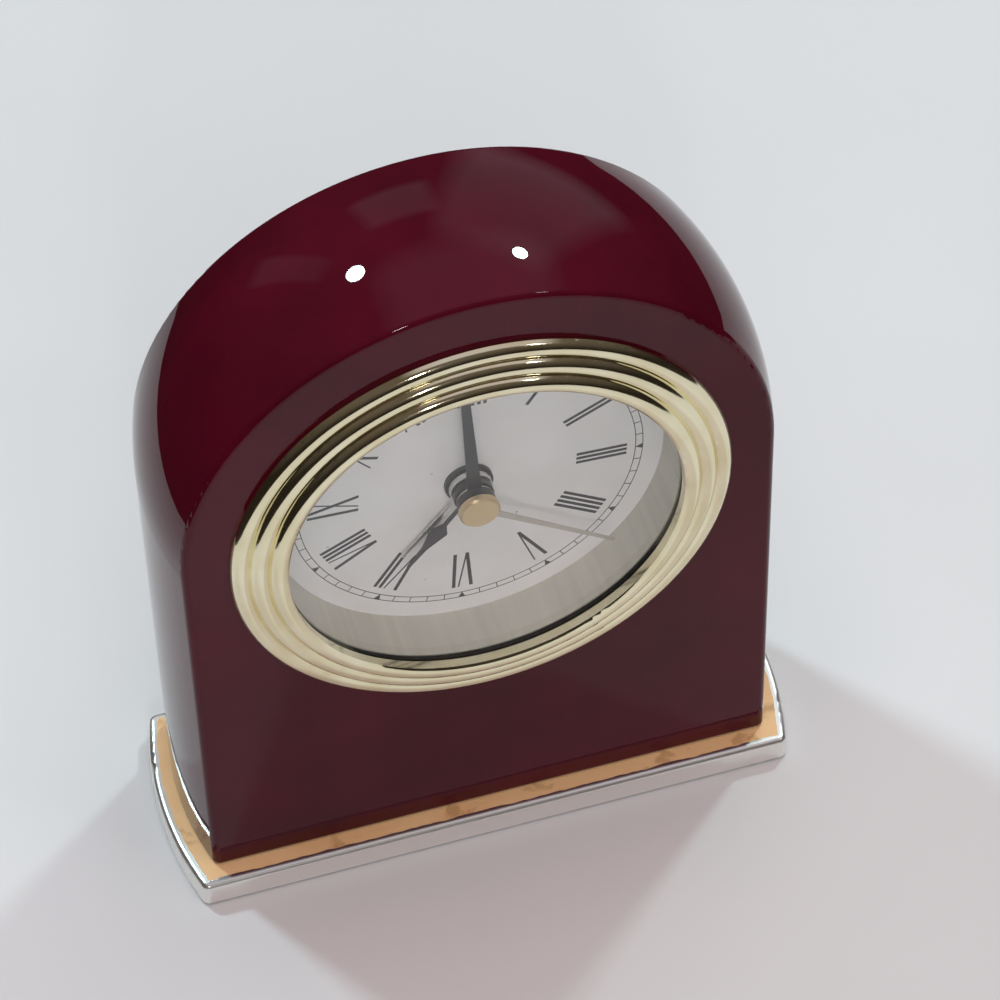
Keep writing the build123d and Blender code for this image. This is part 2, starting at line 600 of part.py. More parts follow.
# Alarm pipe and wheel, next to the dial
with BuildPart() as alarm_wheel:
    alarm_top = DIAL_DEPTH - ALARM_HUB_TOP
    toothed(insert_plane(ALARM_LEVEL), ALARM_TEETH, ALARM_MODULE, 0, WHEEL_THICKNESS)
    alarm_length = ALARM_LEVEL + WHEEL_THICKNESS - alarm_top
    round_length(insert_plane(alarm_top), ALARM_PIPE_RADIUS, alarm_length)
    round_length(
        insert_plane(alarm_top), HOUR_PIPE_RADIUS + RUNNING_CLEARANCE, alarm_length, mode=Mode.SUBTRACT
    )
finish(alarm_wheel, "alarm_wheel")

# Hour pipe and wheel
with BuildPart() as hour_wheel:
    hour_top = DIAL_DEPTH - HOUR_HUB_TOP
    hour_phase = mesh_phase(MINUTE_PINION_TEETH, 0, MINUTE_WHEEL_ANGLE + 180, HOUR_TEETH)
    toothed(insert_plane(HOUR_LEVEL), HOUR_TEETH, HOUR_MODULE, hour_phase, WHEEL_THICKNESS)
    hour_length = HOUR_LEVEL + WHEEL_THICKNESS - hour_top
    round_length(insert_plane(hour_top), HOUR_PIPE_RADIUS, hour_length)
    round_length(
        insert_plane(hour_top), CANNON_RADIUS + RUNNING_CLEARANCE, hour_length, mode=Mode.SUBTRACT
    )
finish(hour_wheel, "hour_wheel")

# Centre wheel with the cannon pinion on its tube, turning once an hour
with BuildPart() as centre_wheel:
    cannon_top = DIAL_DEPTH - MINUTE_HUB_TOP
    toothed(insert_plane(MOTION_LEVEL), CANNON_TEETH, MOTION_MODULE, 0, WHEEL_THICKNESS)
    toothed(insert_plane(CENTRE_LEVEL), CENTRE_TEETH, CENTRE_MODULE, 0, WHEEL_THICKNESS)
    cannon_length = CENTRE_LEVEL + WHEEL_THICKNESS - cannon_top
    round_length(insert_plane(cannon_top), CANNON_RADIUS, cannon_length)
    round_length(insert_plane(cannon_top), PIVOT_HOLE, cannon_length, mode=Mode.SUBTRACT)
finish(centre_wheel, "centre_wheel")

# Minute wheel with its pinion, on the housing's stud
with BuildPart() as minute_wheel:
    minute_phase = mesh_phase(CANNON_TEETH, 0, MINUTE_WHEEL_ANGLE, MINUTE_TEETH)
    toothed(
        insert_plane(MOTION_LEVEL, MINUTE_WHEEL), MINUTE_TEETH, MOTION_MODULE, minute_phase, WHEEL_THICKNESS
    )
    toothed(insert_plane(HOUR_LEVEL, MINUTE_WHEEL), MINUTE_PINION_TEETH, HOUR_MODULE, 0, LEVEL)
    round_length(
        insert_plane(HOUR_LEVEL, MINUTE_WHEEL),
        STUD_RADIUS + RUNNING_CLEARANCE,
        LEVEL + WHEEL_THICKNESS,
        mode=Mode.SUBTRACT,
    )
finish(minute_wheel, "minute_wheel")

# Third wheel between the centre wheel and the second wheel
with BuildPart() as third_wheel:
    third_phase = mesh_phase(CENTRE_TEETH, 0, THIRD_ANGLE, THIRD_PINION_TEETH)
    toothed(
        insert_plane(CENTRE_LEVEL, THIRD), THIRD_PINION_TEETH, CENTRE_MODULE, third_phase, WHEEL_THICKNESS
    )
    toothed(insert_plane(THIRD_LEVEL, THIRD), THIRD_TEETH, THIRD_MODULE, 0, WHEEL_THICKNESS)
    round_length(insert_plane(CENTRE_LEVEL, THIRD), ARBOR_RADIUS, BRIDGE_BACK - CENTRE_LEVEL)
finish(third_wheel, "third_wheel")

# Second wheel on the long arbor that carries the sweep hand
with BuildPart() as second_wheel:
    second_top = DIAL_DEPTH - ARBOR_TOP
    second_phase = mesh_phase(THIRD_TEETH, 0, THIRD_ANGLE + 180, SECOND_PINION_TEETH)
    toothed(insert_plane(THIRD_LEVEL), SECOND_PINION_TEETH, THIRD_MODULE, second_phase, WHEEL_THICKNESS)
    toothed(insert_plane(SECOND_LEVEL), SECOND_TEETH, SECOND_MODULE, 0, WHEEL_THICKNESS)
    round_length(insert_plane(second_top), ARBOR_RADIUS, BRIDGE_BACK - second_top)
finish(second_wheel, "second_wheel")

with BuildPart() as intermediate_wheel:
    intermediate_phase = mesh_phase(SECOND_TEETH, 0, INTERMEDIATE_ANGLE, INTERMEDIATE_PINION_TEETH)
    toothed(
        insert_plane(SECOND_LEVEL, INTERMEDIATE),
        INTERMEDIATE_PINION_TEETH,
        SECOND_MODULE,
        intermediate_phase,
        WHEEL_THICKNESS,
    )
    toothed(
        insert_plane(INTERMEDIATE_LEVEL, INTERMEDIATE),
        INTERMEDIATE_TEETH,
        INTERMEDIATE_MODULE,
        0,
        WHEEL_THICKNESS,
    )
    round_length(insert_plane(PLATE_FRONT, INTERMEDIATE), ARBOR_RADIUS, BRIDGE_BACK - PLATE_FRONT)
finish(intermediate_wheel, "intermediate_wheel")

# Rotor of the step motor: a magnet pressed on an arbor with a pinion
with BuildPart() as rotor_pinion:
    rotor_phase = mesh_phase(INTERMEDIATE_TEETH, 0, ROTOR_ANGLE, ROTOR_PINION_TEETH)
    toothed(
        insert_plane(INTERMEDIATE_LEVEL, ROTOR),
        ROTOR_PINION_TEETH,
        INTERMEDIATE_MODULE,
        rotor_phase,
        WHEEL_THICKNESS,
    )
    round_length(insert_plane(PLATE_FRONT, ROTOR), ARBOR_RADIUS, BRIDGE_BACK - PLATE_FRONT)
finish(rotor_pinion, "rotor_pinion")

with BuildPart() as rotor_magnet:
    magnet_length = SECOND_LEVEL + WHEEL_THICKNESS - THIRD_LEVEL
    round_length(
        insert_plane(THIRD_LEVEL, ROTOR), MAGNET_RADIUS, magnet_length, ARBOR_RADIUS + PRESS_CLEARANCE
    )
finish(rotor_magnet, "rotor_magnet")

# Stator: a ring round the magnet, with two limbs to a bar through the coil
with BuildPart() as stator:
    coil_left = ROTOR[0] - COIL_FROM_ROTOR
    coil_right = coil_left + COIL_LENGTH
    limb_left = coil_left - SEAT_CLEARANCE - STATOR_BAR / 2
    limb_right = coil_right + SEAT_CLEARANCE + STATOR_BAR / 2
    bar_length = limb_right - limb_left + STATOR_BAR
    limb_length = COIL_RISE + STATOR_BAR / 2 - ROTOR[1]
    limb_middle = (COIL_RISE + STATOR_BAR / 2 + ROTOR[1]) / 2
    with BuildSketch(insert_plane(SECOND_LEVEL)) as stator_outline:
        with Locations(ROTOR):
            Circle(MAGNET_RADIUS + STATOR_GAP + STATOR_RING)
        with Locations(((limb_left + limb_right) / 2, COIL_RISE)):
            Rectangle(bar_length, STATOR_BAR)
        with Locations((limb_left, limb_middle), (limb_right, limb_middle)):
            Rectangle(STATOR_BAR, limb_length)
        with Locations(((ROTOR[0] + limb_right) / 2, ROTOR[1] + STATOR_BAR / 2)):
            Rectangle(limb_right - ROTOR[0], STATOR_BAR)
        with Locations(ROTOR):
            Circle(MAGNET_RADIUS + STATOR_GAP, mode=Mode.SUBTRACT)
    extrude(stator_outline.sketch, amount=-WHEEL_THICKNESS)
finish(stator, "stator")

# Coil: a square bobbin with the winding between its flanges
coil_start = insert_plane(SECOND_LEVEL + WHEEL_THICKNESS / 2, (coil_left, COIL_RISE))
COIL_PLANE = Plane(coil_start.origin, x_dir=(0, 1, 0), z_dir=coil_start.x_dir)
CORE_HOLE = (WHEEL_THICKNESS + 2 * SEAT_CLEARANCE, STATOR_BAR + 2 * SEAT_CLEARANCE)
BOBBIN_TUBE = (CORE_HOLE[0] + COIL_FLANGE, CORE_HOLE[1] + COIL_FLANGE)

with BuildPart() as coil_bobbin:
    block(COIL_PLANE, BOBBIN_TUBE, -COIL_LENGTH)
    block(COIL_PLANE, (2 * COIL_HALF, 2 * COIL_HALF), -COIL_FLANGE)
    block(COIL_PLANE.offset(COIL_LENGTH - COIL_FLANGE), (2 * COIL_HALF, 2 * COIL_HALF), -COIL_FLANGE)
    block(COIL_PLANE, CORE_HOLE, -COIL_LENGTH, mode=Mode.SUBTRACT)
finish(coil_bobbin, "coil_bobbin")

with BuildPart() as coil_winding:
    with BuildSketch(COIL_PLANE.offset(COIL_FLANGE)) as winding_outline:
        RectangleRounded(2 * COIL_HALF - COIL_FLANGE, 2 * COIL_HALF - COIL_FLANGE, COIL_FLANGE / 2)
        Rectangle(*BOBBIN_TUBE, mode=Mode.SUBTRACT)
    extrude(winding_outline.sketch, amount=COIL_LENGTH - 2 * COIL_FLANGE)
finish(coil_winding, "coil_winding")

# Circuit board with its sealed chip, the crystal can and the buzzer disc
with BuildPart() as circuit_board:
    block(insert_plane(PLATE_BACK, BOARD_AT), BOARD_SIZE, BOARD_THICKNESS)
    round_length(insert_plane(PLATE_BACK + BOARD_THICKNESS, BOARD_AT), CHIP_RADIUS, CHIP_HEIGHT)
finish(circuit_board, "circuit_board")

with BuildPart() as quartz_crystal:
    crystal_at = (BOARD_AT[0] - CRYSTAL_LENGTH / 2, BOARD_AT[1] - CRYSTAL_DROP)
    crystal_start = insert_plane(PLATE_BACK + BOARD_THICKNESS + SEAT_CLEARANCE + CRYSTAL_RADIUS, crystal_at)
    round_length(
        Plane(crystal_start.origin, x_dir=(0, 1, 0), z_dir=crystal_start.x_dir), CRYSTAL_RADIUS, -CRYSTAL_LENGTH
    )
finish(quartz_crystal, "quartz_crystal")

with BuildPart() as buzzer:
    round_length(insert_plane(FLOOR_BACK, BUZZER_AT), BUZZER_RADIUS, BUZZER_THICKNESS)
finish(buzzer, "buzzer")

# Cell lying across the insert, between two spring contacts
cell_start = insert_plane(CELL_DEPTH, (-CELL_LENGTH / 2, -CELL_DROP))
CELL_PLANE = Plane(cell_start.origin, x_dir=(0, 1, 0), z_dir=cell_start.x_dir)

with BuildPart() as battery:
    round_length(CELL_PLANE, CELL_RADIUS, CELL_NUB_LENGTH - CELL_LENGTH)
    round_length(CELL_PLANE, CELL_NUB_RADIUS, -CELL_LENGTH)
finish(battery, "battery")

with BuildPart() as battery_contacts:
    contact_offset = CELL_LENGTH / 2 + SEAT_CLEARANCE + CONTACT_THICKNESS / 2
    contacts = [(-contact_offset, -CELL_DROP), (contact_offset, -CELL_DROP)]
    contact_plane = insert_plane(CELL_DEPTH - CONTACT_DEPTH / 2)
    block(contact_plane, (CONTACT_THICKNESS, CONTACT_SPAN), CONTACT_DEPTH, contacts)
finish(battery_contacts, "battery_contacts")

# Back cover with the cell's opening, the switch slot and holes for the two setters
DOOR_SIZE = (2 * DOOR_HALF_LENGTH, 2 * DOOR_HALF_WIDTH)
SLOT_LENGTH = SWITCH_THUMB[0] + SWITCH_TRAVEL + 2 * SWITCH_ROOM
SLOT_HEIGHT = SWITCH_THUMB[1] + 2 * SWITCH_ROOM
SWITCH_REST = (-SWITCH_TRAVEL / 2, SWITCH_RISE)

with BuildPart() as back_cover:
    round_length(insert_plane(COVER_FRONT), STACK_RADIUS, COVER_THICKNESS)
    door_middle = (0, -CELL_DROP)
    bay_mouth = (DOOR_SIZE[0] - DOOR_LEDGE, DOOR_SIZE[1] - DOOR_LEDGE)
    block(insert_plane(COVER_FRONT, door_middle), bay_mouth, COVER_THICKNESS, mode=Mode.SUBTRACT)
    block(
        insert_plane(COVER_BACK - DOOR_THICKNESS, door_middle), DOOR_SIZE, DOOR_THICKNESS, mode=Mode.SUBTRACT
    )
    with BuildSketch(insert_plane(COVER_FRONT)) as cover_holes:
        with Locations((0, SWITCH_RISE)):
            Rectangle(SLOT_LENGTH, SLOT_HEIGHT)
        with Locations(TIME_SETTER, ALARM_SETTER):
            Circle(SETTER_HOLE)
        with Locations(*BOSSES):
            Circle(SMALL_SCREW_RADIUS + SCREW_CLEARANCE)
    extrude(cover_holes.sketch, amount=-COVER_THICKNESS, mode=Mode.SUBTRACT)
finish(back_cover, "back_cover")

with BuildPart() as cover_screws:
    small_screws(BOSSES, COVER_BACK, COVER_THICKNESS + SMALL_SCREW_GRIP - SCREW_CLEARANCE)
finish(cover_screws, "cover_screws")

with BuildPart() as battery_door:
    door_plate = (DOOR_SIZE[0] - 2 * DOOR_CLEARANCE, DOOR_SIZE[1] - 2 * DOOR_CLEARANCE)
    block(insert_plane(COVER_BACK - DOOR_THICKNESS, door_middle), door_plate, DOOR_THICKNESS)
    with BuildSketch(insert_plane(COVER_BACK, door_middle)) as door_ribs:
        with GridLocations(0, DOOR_RIB_PITCH, 1, DOOR_RIB_COUNT):
            Rectangle(*DOOR_RIB)
    extrude(door_ribs.sketch, amount=-DOOR_RIB_HEIGHT)
finish(battery_door, "battery_door")

with BuildPart() as alarm_switch:
    shoe_front = COVER_FRONT - INSERT_CLEARANCE - SWITCH_SHOE_THICKNESS
    block(insert_plane(shoe_front, SWITCH_REST), SWITCH_SHOE, SWITCH_SHOE_THICKNESS)
    block(insert_plane(shoe_front, SWITCH_REST), SWITCH_THUMB, COVER_BACK + SWITCH_PROUD - shoe_front)
finish(alarm_switch, "alarm_switch")

# Setting arbors, and fluted knobs that reach as far behind the base's middle as the bezel does in front
KNOB_BACK = -bezel.part.bounding_box().min.Y - CASE_FRONT
KNOB_FRONT = COVER_BACK + KNOB_GAP

with BuildPart() as time_set_arbor:
    time_phase = mesh_phase(MINUTE_TEETH, minute_phase, TIME_SETTER_ANGLE, TIME_PINION_TEETH)
    toothed(
        insert_plane(MOTION_LEVEL, TIME_SETTER), TIME_PINION_TEETH, MOTION_MODULE, time_phase, WHEEL_THICKNESS
    )
    round_length(insert_plane(ALARM_LEVEL, TIME_SETTER), SETTER_RADIUS, KNOB_BACK - KNOB_EDGE - ALARM_LEVEL)
    pivot_length = HOUSING_FLOOR / 2 - RUNNING_CLEARANCE + LEVEL_AIR
    round_length(insert_plane(ALARM_LEVEL - pivot_length, TIME_SETTER), ARBOR_RADIUS, pivot_length)
finish(time_set_arbor, "time_set_arbor")

with BuildPart() as alarm_set_arbor:
    alarm_phase = mesh_phase(ALARM_TEETH, 0, ALARM_SETTER_ANGLE, ALARM_SETTER_TEETH)
    toothed(
        insert_plane(ALARM_LEVEL, ALARM_SETTER), ALARM_SETTER_TEETH, ALARM_MODULE, alarm_phase, WHEEL_THICKNESS
    )
    round_length(insert_plane(ALARM_LEVEL, ALARM_SETTER), SETTER_RADIUS, KNOB_BACK - KNOB_EDGE - ALARM_LEVEL)
    round_length(insert_plane(ALARM_LEVEL - pivot_length, ALARM_SETTER), ARBOR_RADIUS, pivot_length)
finish(alarm_set_arbor, "alarm_set_arbor")

for knob_name, knob_at in (("time_set_knob", TIME_SETTER), ("alarm_set_knob", ALARM_SETTER)):
    with BuildPart() as knob:
        knob_length = KNOB_BACK - KNOB_FRONT
        socket = insert_plane(KNOB_FRONT, knob_at)
        round_length(socket, KNOB_RADIUS, knob_length)
        chamfer(knob.edges().sort_by(Axis.Y)[-1], KNOB_EDGE)
        with BuildSketch(socket) as knob_flutes:
            with PolarLocations(KNOB_RADIUS, KNOB_FLUTES):
                Circle(KNOB_FLUTE_RADIUS)
        extrude(knob_flutes.sketch, amount=-knob_length, mode=Mode.SUBTRACT)
        round_length(socket, SETTER_RADIUS + PRESS_CLEARANCE, knob_length - KNOB_EDGE, mode=Mode.SUBTRACT)
    finish(knob, knob_name)


def hub(foot, radius, height, bore):
    """Add a hand's hub with its foot at a height above the dial."""
    round_length(insert_plane(DIAL_DEPTH - foot - height), radius, height, bore)


def blade(foot, angle, points):
    """Add a flat hand along an angle, from the right half of its outline."""
    with BuildSketch(insert_plane(DIAL_DEPTH - foot - HAND_THICKNESS, turn=angle)) as outline:
        with BuildLine():
            Polyline(*points, *[(-x, y) for x, y in reversed(points)], close=True)
        make_face()
    extrude(outline.sketch, amount=-HAND_THICKNESS)


# Hands, from the dial outwards
ALARM_BORE = ALARM_PIPE_RADIUS + PRESS_CLEARANCE
with BuildPart() as alarm_hand:
    hub(ALARM_HUB_FOOT, ALARM_HUB_RADIUS, ALARM_HUB_HEIGHT, ALARM_BORE)
    blade(ALARM_HUB_FOOT, ALARM_ANGLE, [(ALARM_WIDTH / 2, ALARM_BORE), (ALARM_TIP_WIDTH / 2, ALARM_REACH)])
finish(alarm_hand, "alarm_hand")

HOUR_BORE = HOUR_PIPE_RADIUS + PRESS_CLEARANCE
with BuildPart() as hour_hand:
    hub(HOUR_HUB_FOOT, HOUR_HUB_RADIUS, HOUR_HUB_HEIGHT, HOUR_BORE)
    hour_half = [
        (HOUR_NECK_WIDTH / 2, HOUR_BORE),
        (HOUR_NECK_WIDTH / 2, HOUR_NECK_REACH),
        (HOUR_SHOULDER_WIDTH / 2, HOUR_SHOULDER_REACH),
        (HOUR_WAIST_WIDTH / 2, HOUR_WAIST_REACH),
        (HOUR_TIP_WIDTH / 2, HOUR_REACH),
    ]
    blade(HOUR_HUB_FOOT, HOUR_ANGLE, hour_half)
finish(hour_hand, "hour_hand")

CANNON_BORE = CANNON_RADIUS + PRESS_CLEARANCE
with BuildPart() as hand_washer:
    hub(WASHER_FOOT, WASHER_RADIUS, WASHER_HEIGHT, CANNON_BORE)
finish(hand_washer, "hand_washer")

with BuildPart() as minute_hand:
    hub(MINUTE_HUB_FOOT, MINUTE_HUB_RADIUS, MINUTE_HUB_HEIGHT, CANNON_BORE)
    minute_half = [
        (MINUTE_WIDTH / 2, CANNON_BORE),
        (MINUTE_END_WIDTH / 2, MINUTE_REACH - MINUTE_POINT),
        (MINUTE_TIP_WIDTH / 2, MINUTE_REACH),
    ]
    blade(MINUTE_HUB_FOOT, MINUTE_ANGLE, minute_half)
finish(minute_hand, "minute_hand")

SECOND_BORE = ARBOR_RADIUS + PRESS_CLEARANCE
with BuildPart() as second_hand:
    round_length(insert_plane(DIAL_DEPTH - CAP_FOOT - CAP_HEIGHT), CAP_RADIUS, CAP_HEIGHT)
    chamfer(second_hand.edges().sort_by(Axis.Y)[0], CAP_EDGE)
    round_length(insert_plane(second_top), SECOND_BORE, ARBOR_TOP - CAP_FOOT, mode=Mode.SUBTRACT)
    blade(CAP_FOOT, SECOND_ANGLE, [(SECOND_WIDTH / 2, SECOND_BORE), (SECOND_TIP_WIDTH / 2, SECOND_REACH)])
finish(second_hand, "second_hand")
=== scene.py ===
"""Looks of a pendulette clock: finishes, dial print, back lettering and studio round the CAD frame."""

import json
import logging
from contextlib import contextmanager
from dataclasses import dataclass, field
from enum import Enum
from math import cos, radians, sin
from typing import Callable, ClassVar, Iterator

import bmesh
import bpy
from mathutils import Matrix, Vector

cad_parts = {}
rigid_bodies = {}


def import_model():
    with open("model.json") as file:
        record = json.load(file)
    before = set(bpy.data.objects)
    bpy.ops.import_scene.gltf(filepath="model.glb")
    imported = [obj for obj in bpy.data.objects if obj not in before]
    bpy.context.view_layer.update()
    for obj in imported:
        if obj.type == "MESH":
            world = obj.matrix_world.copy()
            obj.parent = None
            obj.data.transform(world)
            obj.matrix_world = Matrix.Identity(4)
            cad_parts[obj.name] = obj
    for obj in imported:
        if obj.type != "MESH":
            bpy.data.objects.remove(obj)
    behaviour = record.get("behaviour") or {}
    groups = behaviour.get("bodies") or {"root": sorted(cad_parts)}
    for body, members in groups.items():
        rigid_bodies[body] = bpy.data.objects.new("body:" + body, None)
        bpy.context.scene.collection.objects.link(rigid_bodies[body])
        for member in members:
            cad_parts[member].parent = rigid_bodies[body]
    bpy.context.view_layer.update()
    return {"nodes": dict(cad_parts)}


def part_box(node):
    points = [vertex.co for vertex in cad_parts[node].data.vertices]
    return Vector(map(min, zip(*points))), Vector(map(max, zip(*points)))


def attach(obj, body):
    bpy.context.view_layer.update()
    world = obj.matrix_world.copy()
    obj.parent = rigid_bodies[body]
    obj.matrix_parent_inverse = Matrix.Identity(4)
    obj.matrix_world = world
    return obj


LOG = logging.getLogger("pendulette")
MM = 0.001
FULL_TURN = 360.0
INSERT_TURN = 3.5

Colour = tuple[float, float, float, float]
Triple = tuple[float, float, float]
Pair = tuple[float, float]
Piece = bpy.types.Object
Tree = bpy.types.NodeTree
Node = bpy.types.Node
Socket = bpy.types.NodeSocket
Outlets = bpy.types.NodeOutputs
Feed = Socket | float | tuple


def tint(red: float, green: float, blue: float) -> Colour:
    """Turns a display colour into the linear colour that a shader takes.

    Args:
        red: Red from 0 to 255.
        green: Green from 0 to 255.
        blue: Blue from 0 to 255.

    Returns:
        The linear colour with full alpha.
    """
    shares = [value / 255.0 for value in (red, green, blue)]
    linear = [s / 12.92 if s <= 0.04045 else ((s + 0.055) / 1.055) ** 2.4 for s in shares]
    return linear[0], linear[1], linear[2], 1.0


def heading(azimuth: float, elevation: float) -> Vector:
    """Gives the direction from the clock to a place round it.

    Args:
        azimuth: Degrees round the clock, 0 in front of it and 90 at its right.
        elevation: Degrees above the floor.

    Returns:
        The unit vector that points there.
    """
    side, rise = radians(azimuth), radians(elevation)
    return Vector((sin(side) * cos(rise), -cos(side) * cos(rise), sin(rise)))


def placing(right: Vector, up: Vector, out: Vector, at: Vector, unit: float = 1.0) -> Matrix:
    """Gives the matrix that takes a thing from the origin to its place.

    Args:
        right: Where its x axis points.
        up: Where its y axis points.
        out: Where its z axis points.
        at: Where its origin goes, in metres.
        unit: How many metres one of its own units is.

    Returns:
        The matrix.
    """
    rows = [(right[n] * unit, up[n] * unit, out[n] * unit, at[n]) for n in range(3)]
    return Matrix((*rows, (0.0, 0.0, 0.0, 1.0)))


class Bench:
    """The modelling bench: short ways to add, shape, copy and join meshes with the hand tools."""

    WELD = 1e-5
    EDGE_BAND = 0.25
    RING_SIDES = 240
    ARC_STEPS = 24

    @staticmethod
    def clear() -> None:
        """Goes back to object mode with nothing selected."""
        if bpy.context.mode != "OBJECT":
            bpy.ops.object.mode_set(mode="OBJECT")
        bpy.ops.object.select_all(action="DESELECT")

    @staticmethod
    def take(pieces: list[Piece]) -> None:
        """Selects some pieces alone and makes the first one active.

        Args:
            pieces: The pieces.
        """
        Bench.clear()
        for piece in pieces:
            piece.select_set(True)
        bpy.context.view_layer.objects.active = pieces[0]

    @staticmethod
    @contextmanager
    def editing(piece: Piece) -> Iterator[None]:
        """Holds a piece in edit mode, and leaves it welded with its faces outward.

        Args:
            piece: The piece to shape.

        Returns:
            A context in which edit mode operators act on the piece.
        """
        Bench.take([piece])
        bpy.ops.object.mode_set(mode="EDIT")
        yield
        bpy.ops.mesh.select_all(action="SELECT")
        bpy.ops.mesh.remove_doubles(threshold=Bench.WELD)
        bpy.ops.mesh.normals_make_consistent(inside=False)
        bpy.ops.object.mode_set(mode="OBJECT")

    @staticmethod
    def pick(piece: Piece, test: Callable[[Vector], bool]) -> None:
        """Selects the points of a piece in edit mode by their place.

        Args:
            piece: The piece in edit mode.
            test: Says of a point's place whether it is selected.
        """
        bpy.ops.mesh.select_mode(type="VERT")
        bpy.ops.mesh.select_all(action="DESELECT")
        mesh = bmesh.from_edit_mesh(piece.data)
        for vertex in mesh.verts:
            vertex.select_set(test(vertex.co))
        mesh.select_flush(True)
        bmesh.update_edit_mesh(piece.data)

    @staticmethod
    def raise_all(thickness: float) -> None:
        """Extrudes the whole flat piece in edit mode to its thickness."""
        bpy.ops.mesh.select_all(action="SELECT")
        bpy.ops.mesh.extrude_region_move(TRANSFORM_OT_translate={"value": (0.0, 0.0, thickness)})

    @staticmethod
    def square() -> Piece:
        """Adds a flat square with sides of 1 round the origin, for a start.

        Returns:
            The new square.
        """
        Bench.clear()
        bpy.ops.mesh.primitive_plane_add(size=1.0)
        return bpy.context.object

    @staticmethod
    def bar(foot: Pair, head: Pair, height: float, thickness: float) -> Piece:
        """Models a flat bar whose foot lies on y 0 and whose head lies on y height.

        Args:
            foot: Left and right end of the foot, in millimetres.
            head: Left and right end of the head, in millimetres.
            height: How tall the bar stands.
            thickness: How far it is raised off its ground.

        Returns:
            The new bar.
        """
        piece = Bench.square()
        with Bench.editing(piece):
            for side, (left, right), level in ((-1, foot, 0.0), (1, head, height)):
                edge = side / 2
                Bench.pick(piece, lambda place: place.y * side > Bench.EDGE_BAND)
                bpy.ops.transform.resize(value=(right - left, 1.0, 1.0), center_override=(0.0, edge, 0.0))
                bpy.ops.transform.translate(value=((left + right) / 2, level - edge, 0.0))
            Bench.raise_all(thickness)
        return piece

    @staticmethod
    def ring(inner: float, outer: float, thickness: float) -> Piece:
        """Models a thin flat ring round the origin.

        Args:
            inner: Inner radius in millimetres.
            outer: Outer radius in millimetres.
            thickness: How far it is raised off its ground.

        Returns:
            The new ring.
        """
        Bench.clear()
        bpy.ops.mesh.primitive_circle_add(vertices=Bench.RING_SIDES, radius=outer, fill_type="NGON")
        piece = bpy.context.object
        with Bench.editing(piece):
            bpy.ops.mesh.select_mode(type="FACE")
            bpy.ops.mesh.select_all(action="SELECT")
            bpy.ops.mesh.inset(thickness=outer - inner)
            bpy.ops.mesh.delete(type="FACE")
            Bench.raise_all(thickness)
        return piece

    @staticmethod
    def arc(inner: float, outer: float, start: float, sweep: float, thickness: float) -> Piece:
        """Models a flat band on part of a circle, spun from one short edge.

        Args:
            inner: Inner radius in millimetres.
            outer: Outer radius in millimetres.
            start: Degrees from the x axis at which the band starts.
            sweep: Degrees that it runs, turning left.
            thickness: How far it is raised off its ground.

        Returns:
            The new band.
        """
        piece = Bench.square()
        middle = (0.0, 0.0, 0.0)
        with Bench.editing(piece):
            Bench.pick(piece, lambda place: place.y > Bench.EDGE_BAND)
            bpy.ops.mesh.delete(type="VERT")
            bpy.ops.mesh.select_all(action="SELECT")
            bpy.ops.transform.resize(value=(outer - inner, 1.0, 1.0), center_override=middle)
            bpy.ops.transform.translate(value=((outer + inner) / 2, 0.5, 0.0))
            bpy.ops.mesh.spin(
                steps=Bench.ARC_STEPS, angle=radians(sweep), center=middle, axis=(0.0, 0.0, 1.0))
            Bench.raise_all(thickness)
        # Spin turned the edge right, so the band's start is brought round by its sweep
        piece.data.transform(Matrix.Rotation(radians(start + sweep), 4, "Z"))
        return piece

    @staticmethod
    def word(text: str, size: float, thickness: float) -> Piece:
        """Models one raised word, centred on the origin, as a mesh.

        Args:
            text: The word.
            size: Letter size in millimetres.
            thickness: How far it is raised off its ground.

        Returns:
            The new word.
        """
        Bench.clear()
        bpy.ops.object.text_add()
        letters = bpy.context.object.data
        letters.body = text
        letters.size = size
        letters.extrude = thickness / 2
        letters.align_x = "CENTER"
        letters.align_y = "CENTER"
        bpy.ops.object.convert(target="MESH")
        piece = bpy.context.object
        piece.data.transform(Matrix.Translation((0.0, 0.0, thickness / 2)))
        with Bench.editing(piece):
            bpy.ops.mesh.select_all(action="SELECT")
        return piece

    @staticmethod
    def stamp(source: Piece, places: list[Matrix]) -> list[Piece]:
        """Copies a piece to its places, each copy with its own mesh, and puts the first one away.

        Args:
            source: The piece that repeats.
            places: Where each copy goes.

        Returns:
            The copies.
        """
        copies = []
        for place in places:
            copy = source.copy()
            copy.data = source.data.copy()
            copy.data.transform(place)
            bpy.context.scene.collection.objects.link(copy)
            copies.append(copy)
        bpy.data.objects.remove(source, do_unlink=True)
        return copies

    @staticmethod
    def join(name: str, pieces: list[Piece]) -> Piece:
        """Joins pieces into one named piece at the origin.

        Args:
            name: The finished piece's name.
            pieces: What it is made of.

        Returns:
            The finished piece.
        """
        Bench.take(pieces)
        bpy.ops.object.join()
        made = bpy.context.object
        made.name = name
        made.data.name = name
        Bench.clear()
        return made


